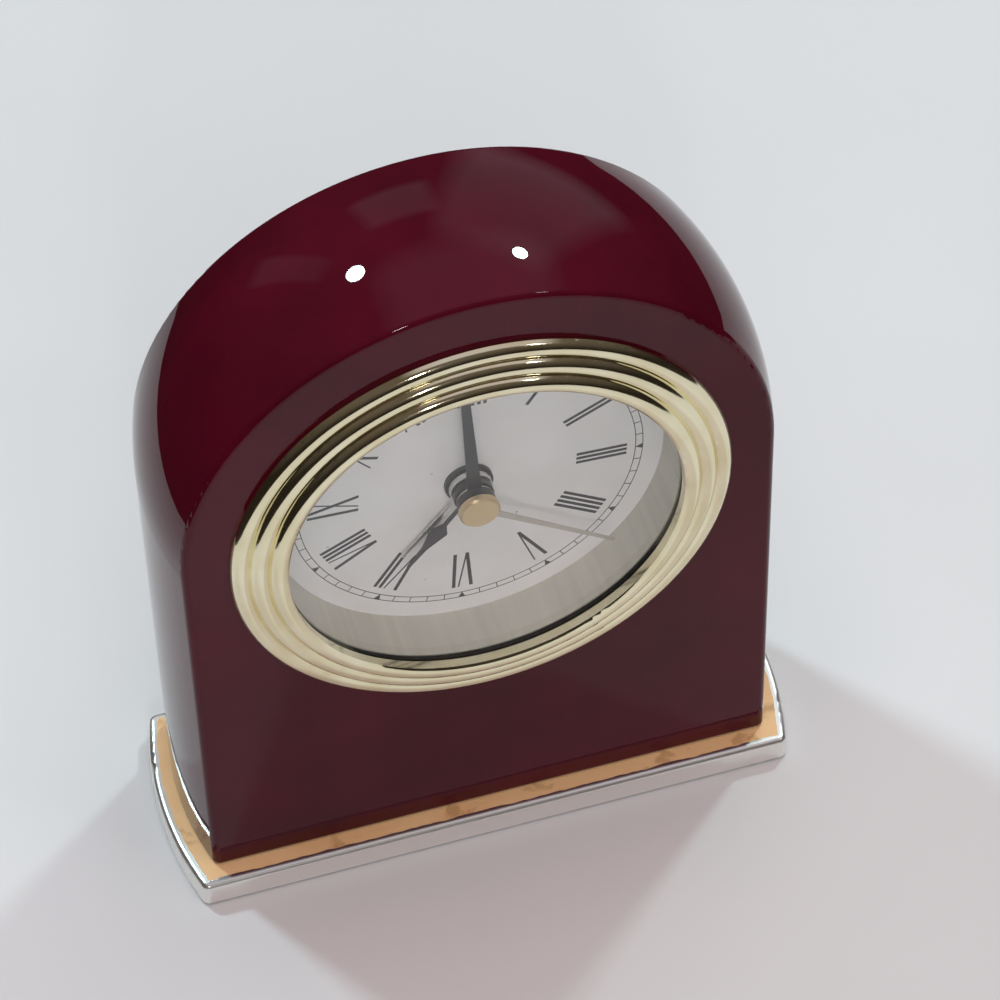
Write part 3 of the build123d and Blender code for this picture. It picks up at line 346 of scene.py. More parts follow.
class Graph:
    """A node tree with short ways to add, set and join its nodes."""

    def __init__(self, tree: Tree) -> None:
        """Takes the tree in hand."""
        self.tree = tree

    def add(self, kind: str, values: dict[str | int, Feed] | None = None, **settings: object) -> Node:
        """Adds a node.

        Args:
            kind: The node's type name.
            values: Input name or number to its constant, or to the socket that feeds it.
            settings: Properties of the node itself.

        Returns:
            The new node.
        """
        node = self.tree.nodes.new(kind)
        for name, value in settings.items():
            setattr(node, name, value)
        for key, value in (values or {}).items():
            if isinstance(value, Socket):
                self.link(value, node, key)
            else:
                node.inputs[key].default_value = value
        return node

    def link(self, source: Socket, node: Node, key: str | int) -> None:
        """Feeds a node's input from a socket."""
        self.tree.links.new(source, node.inputs[key])

    def math(self, operation: str, first: Feed, second: Feed = 0.0) -> Socket:
        """Adds a sum of two values and gives its result."""
        return self.add("ShaderNodeMath", {0: first, 1: second}, operation=operation).outputs[0]

    def vector(self, operation: str, first: Feed, second: Feed) -> Socket:
        """Adds a sum of two vectors and gives its result."""
        return self.add("ShaderNodeVectorMath", {0: first, 1: second}, operation=operation).outputs[0]

    def dot(self, way: Feed, along: Vector) -> Socket:
        """Adds the length of a vector along a fixed direction and gives its result."""
        node = self.add("ShaderNodeVectorMath", {0: way, 1: tuple(along)}, operation="DOT_PRODUCT")
        return node.outputs["Value"]

    def spread(self, value: Feed, source: Pair, target: tuple[Feed, Feed] = (0.0, 1.0)) -> Socket:
        """Maps a value from one range to another, held at its ends.

        Args:
            value: The socket to map.
            source: Its range.
            target: The range that it is mapped to.

        Returns:
            The mapped value's socket.
        """
        values = {0: value, 1: source[0], 2: source[1], 3: target[0], 4: target[1]}
        return self.add("ShaderNodeMapRange", values, clamp=True).outputs[0]

    def blend(self, share: Feed, first: Feed, second: Feed) -> Socket:
        """Mixes two colours by a share and gives the mixed colour's socket."""
        node = self.add("ShaderNodeMix", {0: share, 6: first, 7: second}, data_type="RGBA")
        return node.outputs[2]

    def noise(self, place: Feed, scale: Feed, detail: float) -> Socket:
        """Adds a noise at a place and gives its value's socket."""
        values = {"Vector": place, "Scale": scale, "Detail": detail}
        return self.add("ShaderNodeTexNoise", values).outputs[0]

    def drawn_out(self, place: Feed, stretch: Triple, turn: Triple = (0.0, 0.0, 0.0)) -> Socket:
        """Adds a turned and stretched place and gives its socket."""
        return self.add("ShaderNodeMapping", {0: place, 2: turn, 3: stretch}).outputs[0]


class Effect(Enum):
    """The surface effects that several finishes share."""

    MOTTLE = "surface_mottle"
    SCRATCHES = "fine_scratches"
    SPECKS = "dust_specks"
    GRAIN = "wood_grain"
    TURNED = "turned_lines"
    WORN = "worn_rim"


class EffectGroup(Graph):
    """A shared effect in the making: a node group with its sockets and the object coordinates."""

    KINDS = {"Stretch": "NodeSocketVector", "Centre": "NodeSocketVector", "Light": "NodeSocketColor",
             "Dark": "NodeSocketColor", "Color": "NodeSocketColor"}
    PLAIN_KIND = "NodeSocketFloat"

    def __init__(self, effect: Effect, inputs: tuple[str, ...], outputs: tuple[str, ...]) -> None:
        """Starts the group with its sockets.

        Args:
            effect: The effect that the group is named for.
            inputs: Input names.
            outputs: Output names.
        """
        super().__init__(bpy.data.node_groups.new(effect.value, "ShaderNodeTree"))
        for way, titles in (("INPUT", inputs), ("OUTPUT", outputs)):
            for title in titles:
                kind = self.KINDS.get(title, self.PLAIN_KIND)
                self.tree.interface.new_socket(name=title, in_out=way, socket_type=kind)
        self.given = self.add("NodeGroupInput").outputs
        self.result = self.add("NodeGroupOutput")
        self.place = self.add("ShaderNodeTexCoord").outputs["Object"]

    def close(self, **answers: Socket) -> Tree:
        """Joins the answers to the outputs.

        Args:
            answers: Output name to the socket that feeds it.

        Returns:
            The finished node group.
        """
        for title, answer in answers.items():
            self.link(answer, self.result, title)
        return self.tree


class EffectShelf:
    """Keeps one shader node group for each shared effect.

    A span is the part of a noise's range that shows, and a gain is how much finer a second noise is.
    """

    PATCH_SPAN = (0.34, 0.66)
    SHEEN_SPAN = (0.3, 0.7)
    SHEEN_GAIN = 2.7
    SCRATCH_TURNS = ((0.4, 0.9, 0.2), (1.3, 0.1, 0.8), (0.2, 2.1, 1.5))
    SCRATCH_STRETCH = (1.0, 45.0, 45.0)
    SCRATCH_SPAN = (0.69, 0.74)
    SPECK_SPAN = (0.07, 0.16)
    FIGURE_STRETCH = (1.0, 1.0, 0.09)
    FIGURE_SPAN = (0.35, 0.65)
    PORE_STRETCH = (1.0, 1.0, 0.035)
    PORE_SPAN = (0.62, 0.72)
    PORE_GAIN = 11.0
    LATHE_PLANE = (1.0, 0.0, 1.0)
    LATHE_SPAN = (0.35, 0.65)
    WEAR_SPAN = (0.0, 0.05 * MM)
    NOISE_MIDDLE = 0.5

    def __init__(self) -> None:
        """Starts with every effect still to be made."""
        self.made: dict[Effect, Tree] = {}

    def get(self, effect: Effect) -> Tree:
        """Gives an effect's node group, which is made on its first use.

        Args:
            effect: The effect.

        Returns:
            Its node group.
        """
        if effect not in self.made:
            makers = {
                Effect.MOTTLE: self.mottle,
                Effect.SCRATCHES: self.scratches,
                Effect.SPECKS: self.specks,
                Effect.GRAIN: self.grain,
                Effect.TURNED: self.turned,
                Effect.WORN: self.worn,
            }
            self.made[effect] = makers[effect]()
        return self.made[effect]

    def mottle(self) -> Tree:
        """Makes soft patches of two colours and two roughnesses.

        Returns:
            The node group.
        """
        inputs = ("Scale", "Stretch", "Light", "Dark", "Smooth", "Rough")
        graph = EffectGroup(Effect.MOTTLE, inputs, ("Color", "Roughness", "Mask"))
        given = graph.given
        drawn = graph.vector("MULTIPLY", graph.place, given["Stretch"])
        mask = graph.spread(graph.noise(drawn, given["Scale"], detail=6.0), self.PATCH_SPAN)
        colour = graph.blend(mask, given["Dark"], given["Light"])
        fine = graph.math("MULTIPLY", given["Scale"], self.SHEEN_GAIN)
        sheen = graph.noise(drawn, fine, detail=3.0)
        roughness = graph.spread(sheen, self.SHEEN_SPAN, (given["Smooth"], given["Rough"]))
        return graph.close(Color=colour, Roughness=roughness, Mask=mask)

    def scratches(self) -> Tree:
        """Makes sparse hairline marks in three directions.

        Returns:
            The node group.
        """
        graph = EffectGroup(Effect.SCRATCHES, ("Scale",), ("Mask",))
        mask: Feed = 0.0
        for turn in self.SCRATCH_TURNS:
            drawn = graph.drawn_out(graph.place, self.SCRATCH_STRETCH, turn)
            line = graph.spread(graph.noise(drawn, graph.given["Scale"], detail=2.0), self.SCRATCH_SPAN)
            mask = graph.math("MAXIMUM", line, mask)
        return graph.close(Mask=mask)

    def specks(self) -> Tree:
        """Makes scattered small round specks of dust.

        Returns:
            The node group.
        """
        graph = EffectGroup(Effect.SPECKS, ("Scale", "Share"), ("Mask",))
        given = graph.given
        cells = graph.add("ShaderNodeTexVoronoi", {"Vector": graph.place, "Scale": given["Scale"]})
        dot = graph.spread(cells.outputs["Distance"], self.SPECK_SPAN, (1.0, 0.0))
        draw = graph.add("ShaderNodeSeparateColor", {0: cells.outputs["Color"]}).outputs[0]
        kept = graph.math("LESS_THAN", draw, given["Share"])
        return graph.close(Mask=graph.math("MULTIPLY", dot, kept))

    def grain(self) -> Tree:
        """Makes upright wood grain with fine pores.

        Returns:
            The node group.
        """
        graph = EffectGroup(Effect.GRAIN, ("Scale",), ("Mask", "Pores"))
        scale = graph.given["Scale"]
        drawn = graph.drawn_out(graph.place, self.FIGURE_STRETCH)
        figure = graph.spread(graph.noise(drawn, scale, detail=7.0), self.FIGURE_SPAN)
        hair = graph.drawn_out(graph.place, self.PORE_STRETCH)
        fine = graph.math("MULTIPLY", scale, self.PORE_GAIN)
        pores = graph.spread(graph.noise(hair, fine, detail=2.0), self.PORE_SPAN)
        return graph.close(Mask=figure, Pores=pores)

    def turned(self) -> Tree:
        """Makes the fine rings that a lathe leaves round a front to back axis, and the reach from it.

        Returns:
            The node group.
        """
        graph = EffectGroup(Effect.TURNED, ("Scale", "Centre"), ("Mask", "Reach"))
        given = graph.given
        moved = graph.vector("SUBTRACT", graph.place, given["Centre"])
        flat = graph.vector("MULTIPLY", moved, self.LATHE_PLANE)
        reach = graph.add("ShaderNodeVectorMath", {0: flat}, operation="LENGTH").outputs["Value"]
        depth = graph.add("ShaderNodeSeparateXYZ", {0: moved}).outputs[1]
        lathe = graph.add("ShaderNodeCombineXYZ", {0: reach, 1: depth}).outputs[0]
        mask = graph.spread(graph.noise(lathe, given["Scale"], detail=3.0), self.LATHE_SPAN)
        return graph.close(Mask=mask, Reach=reach)

    def worn(self) -> Tree:
        """Makes the ragged mask of a bowed plate's rim, and of all that lies below its top.

        Returns:
            The node group.
        """
        inputs = ("Level", "Half Width", "Half Depth", "Bow", "End Rim", "Side Rim", "Ragged", "Scale")
        graph = EffectGroup(Effect.WORN, inputs, ("Mask",))
        given, place = graph.given, graph.place
        across, along, height = graph.add("ShaderNodeSeparateXYZ", {0: place}).outputs
        away = graph.math("DIVIDE", along, given["Half Depth"])
        fall = graph.math("MULTIPLY", graph.math("MULTIPLY", away, away), given["Bow"])
        bowed = graph.math("SUBTRACT", given["Half Width"], fall)
        end = graph.math("SUBTRACT", bowed, given["End Rim"])
        side = graph.math("SUBTRACT", given["Half Depth"], given["Side Rim"])
        past_end = graph.math("SUBTRACT", graph.math("ABSOLUTE", across), end)
        past_side = graph.math("SUBTRACT", graph.math("ABSOLUTE", along), side)
        drift = graph.math("SUBTRACT", graph.noise(place, given["Scale"], detail=6.0), self.NOISE_MIDDLE)
        wander = graph.math("MULTIPLY", drift, given["Ragged"])
        outside = graph.math("ADD", graph.math("MAXIMUM", past_end, past_side), wander)
        below = graph.math("SUBTRACT", given["Level"], height)
        mask = graph.spread(graph.math("MAXIMUM", outside, below), self.WEAR_SPAN)
        return graph.close(Mask=mask)


@dataclass(frozen=True)
class Easel:
    """A material in the making: its nodes, its shader and the shared effects."""

    graph: Graph
    shader: Node
    shelf: EffectShelf

    def place(self, effect: Effect, values: dict[str, Feed]) -> Outlets:
        """Places a shared effect with a finish's own values and gives its outputs."""
        return self.graph.add("ShaderNodeGroup", values, node_tree=self.shelf.get(effect)).outputs

    def feed(self, source: Socket, key: str) -> None:
        """Feeds one of the shader's inputs."""
        self.graph.link(source, self.shader, key)

    def emboss(self, height: Socket, distance: float) -> None:
        """Raises the surface by up to a distance."""
        values = {"Strength": 1.0, "Distance": distance, "Height": height}
        self.feed(self.graph.add("ShaderNodeBump", values).outputs[0], "Normal")

    def show(self, surface: Socket) -> None:
        """Joins the surface to the material's output."""
        self.graph.link(surface, self.graph.add("ShaderNodeOutputMaterial"), "Surface")


@dataclass(frozen=True)
class Finish:
    """An opaque finish: two near colours in soft patches, with gloss, scratches and dust of its own.

    Lengths are in metres and scales are counts in a metre, as object coordinates give them.
    """

    name: str
    light: Colour
    dark: Colour
    smooth: float = 0.25
    rough: float = 0.4
    metallic: float = 0.0
    scale: float = 500.0
    stretch: Triple = (1.0, 1.0, 1.0)
    bump: float = 0.0
    coat: float = 0.0
    coat_roughness: float = 0.03
    coat_ior: float = 1.5
    specular: float = 0.5
    scratch_scale: float = 110.0
    scratch_gain: float = 0.0
    dust_scale: float = 900.0
    dust_share: float = 0.0
    dust: Colour = tint(205, 200, 192)

    def make(self, shelf: EffectShelf) -> bpy.types.Material:
        """Makes the material.

        Args:
            shelf: Where the shared effects are kept.

        Returns:
            The finished material.
        """
        material = bpy.data.materials.new(self.name)
        material.use_nodes = True
        material.node_tree.nodes.clear()
        graph = Graph(material.node_tree)
        shader = graph.add("ShaderNodeBsdfPrincipled", {
            "Metallic": self.metallic, "Specular IOR Level": self.specular, "Coat Weight": self.coat,
            "Coat Roughness": self.coat_roughness, "Coat IOR": self.coat_ior})
        easel = Easel(graph, shader, shelf)
        patches = easel.place(Effect.MOTTLE, {
            "Scale": self.scale, "Stretch": self.stretch, "Light": self.light, "Dark": self.dark,
            "Smooth": self.smooth, "Rough": self.rough})
        colour = self.paint(easel, patches["Color"])
        easel.feed(self.powder(easel, colour), "Base Color")
        easel.feed(self.scuff(easel, patches["Roughness"]), "Roughness")
        self.relief(easel, patches["Mask"])
        self.surface(easel)
        return material

    def paint(self, easel: Easel, colour: Socket) -> Socket:
        """Gives the surface colour before dust."""
        return colour

    def powder(self, easel: Easel, colour: Socket) -> Socket:
        """Lays dust specks over the colour where the finish has any.

        Args:
            easel: The material in the making.
            colour: The colour under the dust.

        Returns:
            The socket of the dusty colour.
        """
        if not self.dust_share:
            return colour
        specks = easel.place(Effect.SPECKS, {"Scale": self.dust_scale, "Share": self.dust_share})
        return easel.graph.blend(specks["Mask"], colour, self.dust)

    def scuff(self, easel: Easel, roughness: Socket) -> Socket:
        """Dulls the roughness along fine scratches where the finish has any.

        Args:
            easel: The material in the making.
            roughness: The roughness between the scratches.

        Returns:
            The socket of the scratched roughness.
        """
        if not self.scratch_gain:
            return roughness
        lines = easel.place(Effect.SCRATCHES, {"Scale": self.scratch_scale})
        dulled = easel.graph.math("MULTIPLY", lines["Mask"], self.scratch_gain)
        return easel.graph.math("ADD", roughness, dulled)

    def relief(self, easel: Easel, mask: Socket) -> None:
        """Raises the surface by the patches where the finish has relief."""
        if self.bump:
            easel.emboss(mask, self.bump)

    def surface(self, easel: Easel) -> None:
        """Joins the shader to the material's output."""
        easel.show(easel.shader.outputs[0])


@dataclass(frozen=True)
class LacquerFinish(Finish):
    """Clear gloss over stained wood: the grain shows through, the surface stays smooth."""

    grain_scale: float = 160.0
    pore: Colour = tint(44, 5, 14)
    pore_depth: float = 0.14

    def paint(self, easel: Easel, colour: Socket) -> Socket:
        """Draws the grain's figure and pores over the stain.

        Args:
            easel: The material in the making.
            colour: The stain.

        Returns:
            The socket of the grained colour.
        """
        grain = easel.place(Effect.GRAIN, {"Scale": self.grain_scale})
        for title in ("Mask", "Pores"):
            share = easel.graph.math("MULTIPLY", grain[title], self.pore_depth)
            colour = easel.graph.blend(share, colour, self.pore)
        return colour


@dataclass(frozen=True)
class WornPlateFinish(Finish):
    """Satin gold on the flat top of a bowed plate, worn to polished metal at the rim and sides."""

    bare: Colour = tint(246, 244, 240)
    bare_roughness: float = 0.3
    level: float = 4.3 * MM
    half_width: float = 46.2 * MM
    half_depth: float = 16.0 * MM
    bow: float = 2.5 * MM
    end_rim: float = 1.35 * MM
    side_rim: float = 1.0 * MM
    ragged: float = 0.7 * MM
    wear_scale: float = 420.0
    stain: Colour = tint(170, 122, 70)
    stain_scale: float = 240.0
    stain_depth: float = 0.45
    stain_span: Pair = (0.0, 0.25)

    def wear(self, easel: Easel) -> Socket:
        """Gives the mask of where the gold is worn away."""
        return easel.place(Effect.WORN, {
            "Level": self.level, "Half Width": self.half_width, "Half Depth": self.half_depth,
            "Bow": self.bow, "End Rim": self.end_rim, "Side Rim": self.side_rim, "Ragged": self.ragged,
            "Scale": self.wear_scale})["Mask"]

    def paint(self, easel: Easel, colour: Socket) -> Socket:
        """Stains the gold in places, and shows bare metal past its ragged edge.

        Args:
            easel: The material in the making.
            colour: The clean gold.

        Returns:
            The socket of the worn colour.
        """
        values = {"Scale": self.stain_scale, "Stretch": self.stretch}
        patches = easel.place(Effect.MOTTLE, values)["Mask"]
        stained = easel.graph.spread(patches, self.stain_span, (self.stain_depth, 0.0))
        gold = easel.graph.blend(stained, colour, self.stain)
        mask = self.wear(easel)
        easel.feed(easel.graph.spread(mask, (0.0, 1.0), (self.metallic, 1.0)), "Metallic")
        return easel.graph.blend(mask, gold, self.bare)

    def scuff(self, easel: Easel, roughness: Socket) -> Socket:
        """Polishes the bare metal, and scratches it and the gold.

        Args:
            easel: The material in the making.
            roughness: The gold's roughness.

        Returns:
            The socket of the worn roughness.
        """
        polish = (roughness, self.bare_roughness)
        return super().scuff(easel, easel.graph.spread(self.wear(easel), (0.0, 1.0), polish))


@dataclass(frozen=True)
class TurnedFinish(Finish):
    """Metal spun on a lathe: fine rings round a front to back axis."""

    centre: Triple = (0.0, 0.0, 67.9 * MM)
    ring_scale: float = 9000.0
    ring_depth: float = 0.0008 * MM

    def lathe(self, easel: Easel) -> Outlets:
        """Gives the lathe's rings and the reach from its axis."""
        return easel.place(Effect.TURNED, {"Scale": self.ring_scale, "Centre": self.centre})

    def relief(self, easel: Easel, mask: Socket) -> None:
        """Raises the lathe's rings."""
        easel.emboss(self.lathe(easel)["Mask"], self.ring_depth)


@dataclass(frozen=True)
class CappedHandFinish(TurnedFinish):
    """A hand whose cap is plated in another colour than its blade."""

    cap_light: Colour = tint(222, 197, 153)
    cap_dark: Colour = tint(216, 190, 145)
    cap_reach: float = 2.95 * MM

    def paint(self, easel: Easel, colour: Socket) -> Socket:
        """Plates the cap.

        Args:
            easel: The material in the making.
            colour: The blade's colour.

        Returns:
            The socket of the colour of both.
        """
        lathe = self.lathe(easel)
        cap = easel.graph.blend(lathe["Mask"], self.cap_dark, self.cap_light)
        inside = easel.graph.math("LESS_THAN", lathe["Reach"], self.cap_reach)
        return easel.graph.blend(inside, colour, cap)


@dataclass(frozen=True)
class GlassFinish(Finish):
    """Clear flat glass that lets lamp light through to what is behind it."""

    ior: float = 1.46

    def surface(self, easel: Easel) -> None:
        """Mixes the glass with a clear pane for shadow rays.

        Args:
            easel: The material in the making.
        """
        glass = easel.shader
        glass.inputs["Transmission Weight"].default_value = 1.0
        glass.inputs["IOR"].default_value = self.ior
        pane = easel.graph.add("ShaderNodeBsdfTransparent")
        shadow = easel.graph.add("ShaderNodeLightPath").outputs["Is Shadow Ray"]
        values = {0: shadow, 1: glass.outputs[0], 2: pane.outputs[0]}
        easel.show(easel.graph.add("ShaderNodeMixShader", values).outputs[0])


LACQUER = LacquerFinish(
    "burgundy_lacquer", tint(81, 11, 30), tint(68, 8, 23), smooth=0.4, rough=0.5, scale=45.0,
    specular=0.0, coat=1.0, coat_roughness=0.015, coat_ior=1.3)
BASE_PLATE = WornPlateFinish(
    "worn_gold_base", tint(254, 215, 160), tint(246, 202, 146), smooth=0.36, rough=0.5, metallic=0.08,
    scale=120.0, scratch_gain=0.1)
BEZEL_BRASS = TurnedFinish(
    "polished_pale_brass", tint(244, 237, 206), tint(234, 224, 187), smooth=0.07, rough=0.13,
    metallic=1.0, scale=150.0, scratch_gain=0.1, ring_depth=0.0001 * MM)
GLASS = GlassFinish(
    "clear_flat_glass", tint(252, 253, 252), tint(246, 249, 248), smooth=0.0, rough=0.012, scale=60.0)
REHAUT = TurnedFinish(
    "satin_wall_ring", tint(211, 209, 196), tint(202, 200, 187), smooth=0.36, rough=0.48,
    metallic=0.6, scale=700.0, stretch=(1.0, 0.03, 1.0), ring_depth=0.0004 * MM)
ENAMEL = Finish(
    "white_dial_enamel", tint(246, 243, 241), tint(241, 237, 234), smooth=0.42, rough=0.55, scale=140.0,
    dust_share=0.03, dust_scale=600.0, dust=tint(170, 163, 154), bump=0.002 * MM)
PRINT = Finish(
    "black_dial_print", tint(40, 40, 44), tint(22, 22, 26), smooth=0.4, rough=0.55, scale=900.0)
BLACK_HAND = Finish(
    "black_hand_enamel", tint(30, 30, 32), tint(18, 18, 20), smooth=0.3, rough=0.42, scale=700.0,
    scratch_gain=0.15, dust_share=0.05, dust_scale=1500.0)
SILVER_HAND = TurnedFinish(
    "silver_hand_plate", tint(224, 222, 218), tint(214, 212, 208), smooth=0.26, rough=0.36,
    metallic=1.0, scale=500.0, ring_depth=0.00004 * MM)
SECOND_HAND = CappedHandFinish(
    "silver_hand_with_gold_cap", tint(202, 194, 184), tint(194, 186, 176), smooth=0.28, rough=0.36,
    metallic=0.6, scale=500.0, ring_depth=0.00004 * MM)
BLACK_PLASTIC = Finish(
    "moulded_black_plastic", tint(40, 40, 42), tint(31, 31, 33), smooth=0.38, rough=0.55, scale=2600.0,
    bump=0.012 * MM, scratch_gain=0.12, dust_share=0.06, dust_scale=700.0, dust=tint(120, 116, 110))
BLACK_RUBBER = Finish(
    "black_rubber", tint(34, 34, 34), tint(24, 24, 25), smooth=0.6, rough=0.8, scale=1500.0,
    bump=0.02 * MM)
FOOT_RUBBER = Finish(
    "pale_foot_rubber", tint(196, 192, 186), tint(178, 174, 168), smooth=0.5, rough=0.7, scale=1300.0,
    bump=0.02 * MM)
RED_PLASTIC = Finish(
    "red_switch_plastic", tint(186, 34, 30), tint(168, 26, 24), smooth=0.3, rough=0.45, scale=2200.0,
    bump=0.008 * MM)
WHITE_PLASTIC = Finish(
    "milky_white_plastic", tint(232, 230, 222), tint(220, 217, 207), smooth=0.35, rough=0.5,
    scale=1800.0, bump=0.006 * MM)
SIGN_PAINT = Finish(
    "white_sign_paint", tint(208, 206, 200), tint(192, 190, 184), smooth=0.45, rough=0.6, scale=1600.0)
STEEL = Finish(
    "zinc_plated_steel", tint(198, 199, 200), tint(176, 177, 180), smooth=0.22, rough=0.38,
    metallic=1.0, scale=800.0, scratch_gain=0.15)
TRAIN_BRASS = Finish(
    "stamped_brass", tint(222, 188, 112), tint(202, 166, 92), smooth=0.2, rough=0.34, metallic=1.0,
    scale=900.0, scratch_gain=0.15)
BRIDGE_STEEL = Finish(
    "brushed_bridge_steel", tint(188, 188, 186), tint(164, 164, 164), smooth=0.28, rough=0.45,
    metallic=1.0, scale=900.0, stretch=(1.0, 1.0, 0.05))
FERRITE = Finish(
    "ferrite_magnet", tint(66, 65, 66), tint(46, 46, 48), smooth=0.45, rough=0.62, metallic=0.4,
    scale=2400.0)
COPPER = Finish(
    "enamelled_copper_wire", tint(196, 108, 58), tint(160, 78, 40), smooth=0.22, rough=0.36,
    metallic=1.0, scale=600.0, stretch=(9.0, 1.0, 1.0), bump=0.05 * MM)
GREEN_BOARD = Finish(
    "green_circuit_board", tint(36, 104, 62), tint(26, 82, 48), smooth=0.25, rough=0.4, scale=700.0,
    coat=0.4)
CRYSTAL_CAN = Finish(
    "tinned_crystal_can", tint(208, 208, 206), tint(186, 187, 188), smooth=0.2, rough=0.34,
    metallic=1.0, scale=900.0)
BUZZER = Finish(
    "buzzer_brass", tint(222, 190, 120), tint(206, 170, 98), smooth=0.24, rough=0.38, metallic=1.0,
    scale=700.0)
CELL = Finish(
    "cell_jacket", tint(58, 74, 66), tint(42, 56, 50), smooth=0.25, rough=0.36, metallic=0.3,
    scale=500.0, coat=0.5)


class FinishRoom:
    """Makes each finish once and puts it on CAD nodes and new pieces."""

    def __init__(self, nodes: dict[str, Piece]) -> None:
        """Opens the room.

        Args:
            nodes: The CAD nodes by name.
        """
        self.nodes = nodes
        self.shelf = EffectShelf()
        self.materials: dict[str, bpy.types.Material] = {}

    def coat(self, piece: Piece, finish: Finish) -> None:
        """Gives a piece its finish.

        Args:
            piece: The piece, whose other materials are dropped.
            finish: What it is finished in.
        """
        if finish.name not in self.materials:
            self.materials[finish.name] = finish.make(self.shelf)
        piece.data.materials.clear()
        piece.data.materials.append(self.materials[finish.name])

    def coat_nodes(self, table: dict[str, Finish]) -> None:
        """Gives CAD nodes their finishes.

        Args:
            table: Node name to finish.
        """
        for node, finish in table.items():
            self.coat(self.nodes[node], finish)
            LOG.info("dressed %s in %s", node, finish.name)


@dataclass
class SubAssembly:
    """A group of CAD nodes that are dressed together, with the pieces that are modelled onto them."""

    FINISHES: ClassVar[dict[str, Finish]] = {}

    room: FinishRoom

    def build(self) -> None:
        """Models the pieces that the CAD leaves to the looks."""

    def dress(self) -> None:
        """Finishes the CAD nodes."""
        self.room.coat_nodes(self.FINISHES)

    def fit(self, piece: Piece, body: str, slot: str, finish: Finish) -> None:
        """Finishes a new piece and lets it ride on its body.

        Args:
            piece: The new piece.
            body: The CAD body that carries it.
            slot: Not used.
            finish: What it is finished in.
        """
        self.room.coat(piece, finish)
        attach(piece, body)
        LOG.info("built %s on %s", piece.name, body)


@dataclass
class CaseStand(SubAssembly):
    """The lacquered case on its plated base."""

    FINISHES = {"case_body": LACQUER, "base_plate": BASE_PLATE, "base_feet": FOOT_RUBBER,
                "base_screws": STEEL}


@dataclass
class BezelGlass(SubAssembly):
    """The beaded bezel with its glass and gasket."""

    FINISHES = {"bezel": BEZEL_BRASS, "glass": GLASS, "glass_gasket": BLACK_RUBBER}


@dataclass(frozen=True)
class Stroke:
    """One stroke of a Roman figure: the two ends of its foot and of its head, in millimetres."""

    foot: Pair
    head: Pair


class Figure(Enum):
    """The three Roman figures: how wide each one is, and its strokes."""

    I = (0.5, (Stroke((0.0, 0.5), (0.0, 0.5)),))
    V = (2.2, (Stroke((0.82, 1.32), (0.0, 0.52)), Stroke((1.02, 1.26), (1.98, 2.2))))
    X = (2.4, (Stroke((1.88, 2.4), (0.0, 0.52)), Stroke((0.04, 0.28), (2.1, 2.34))))


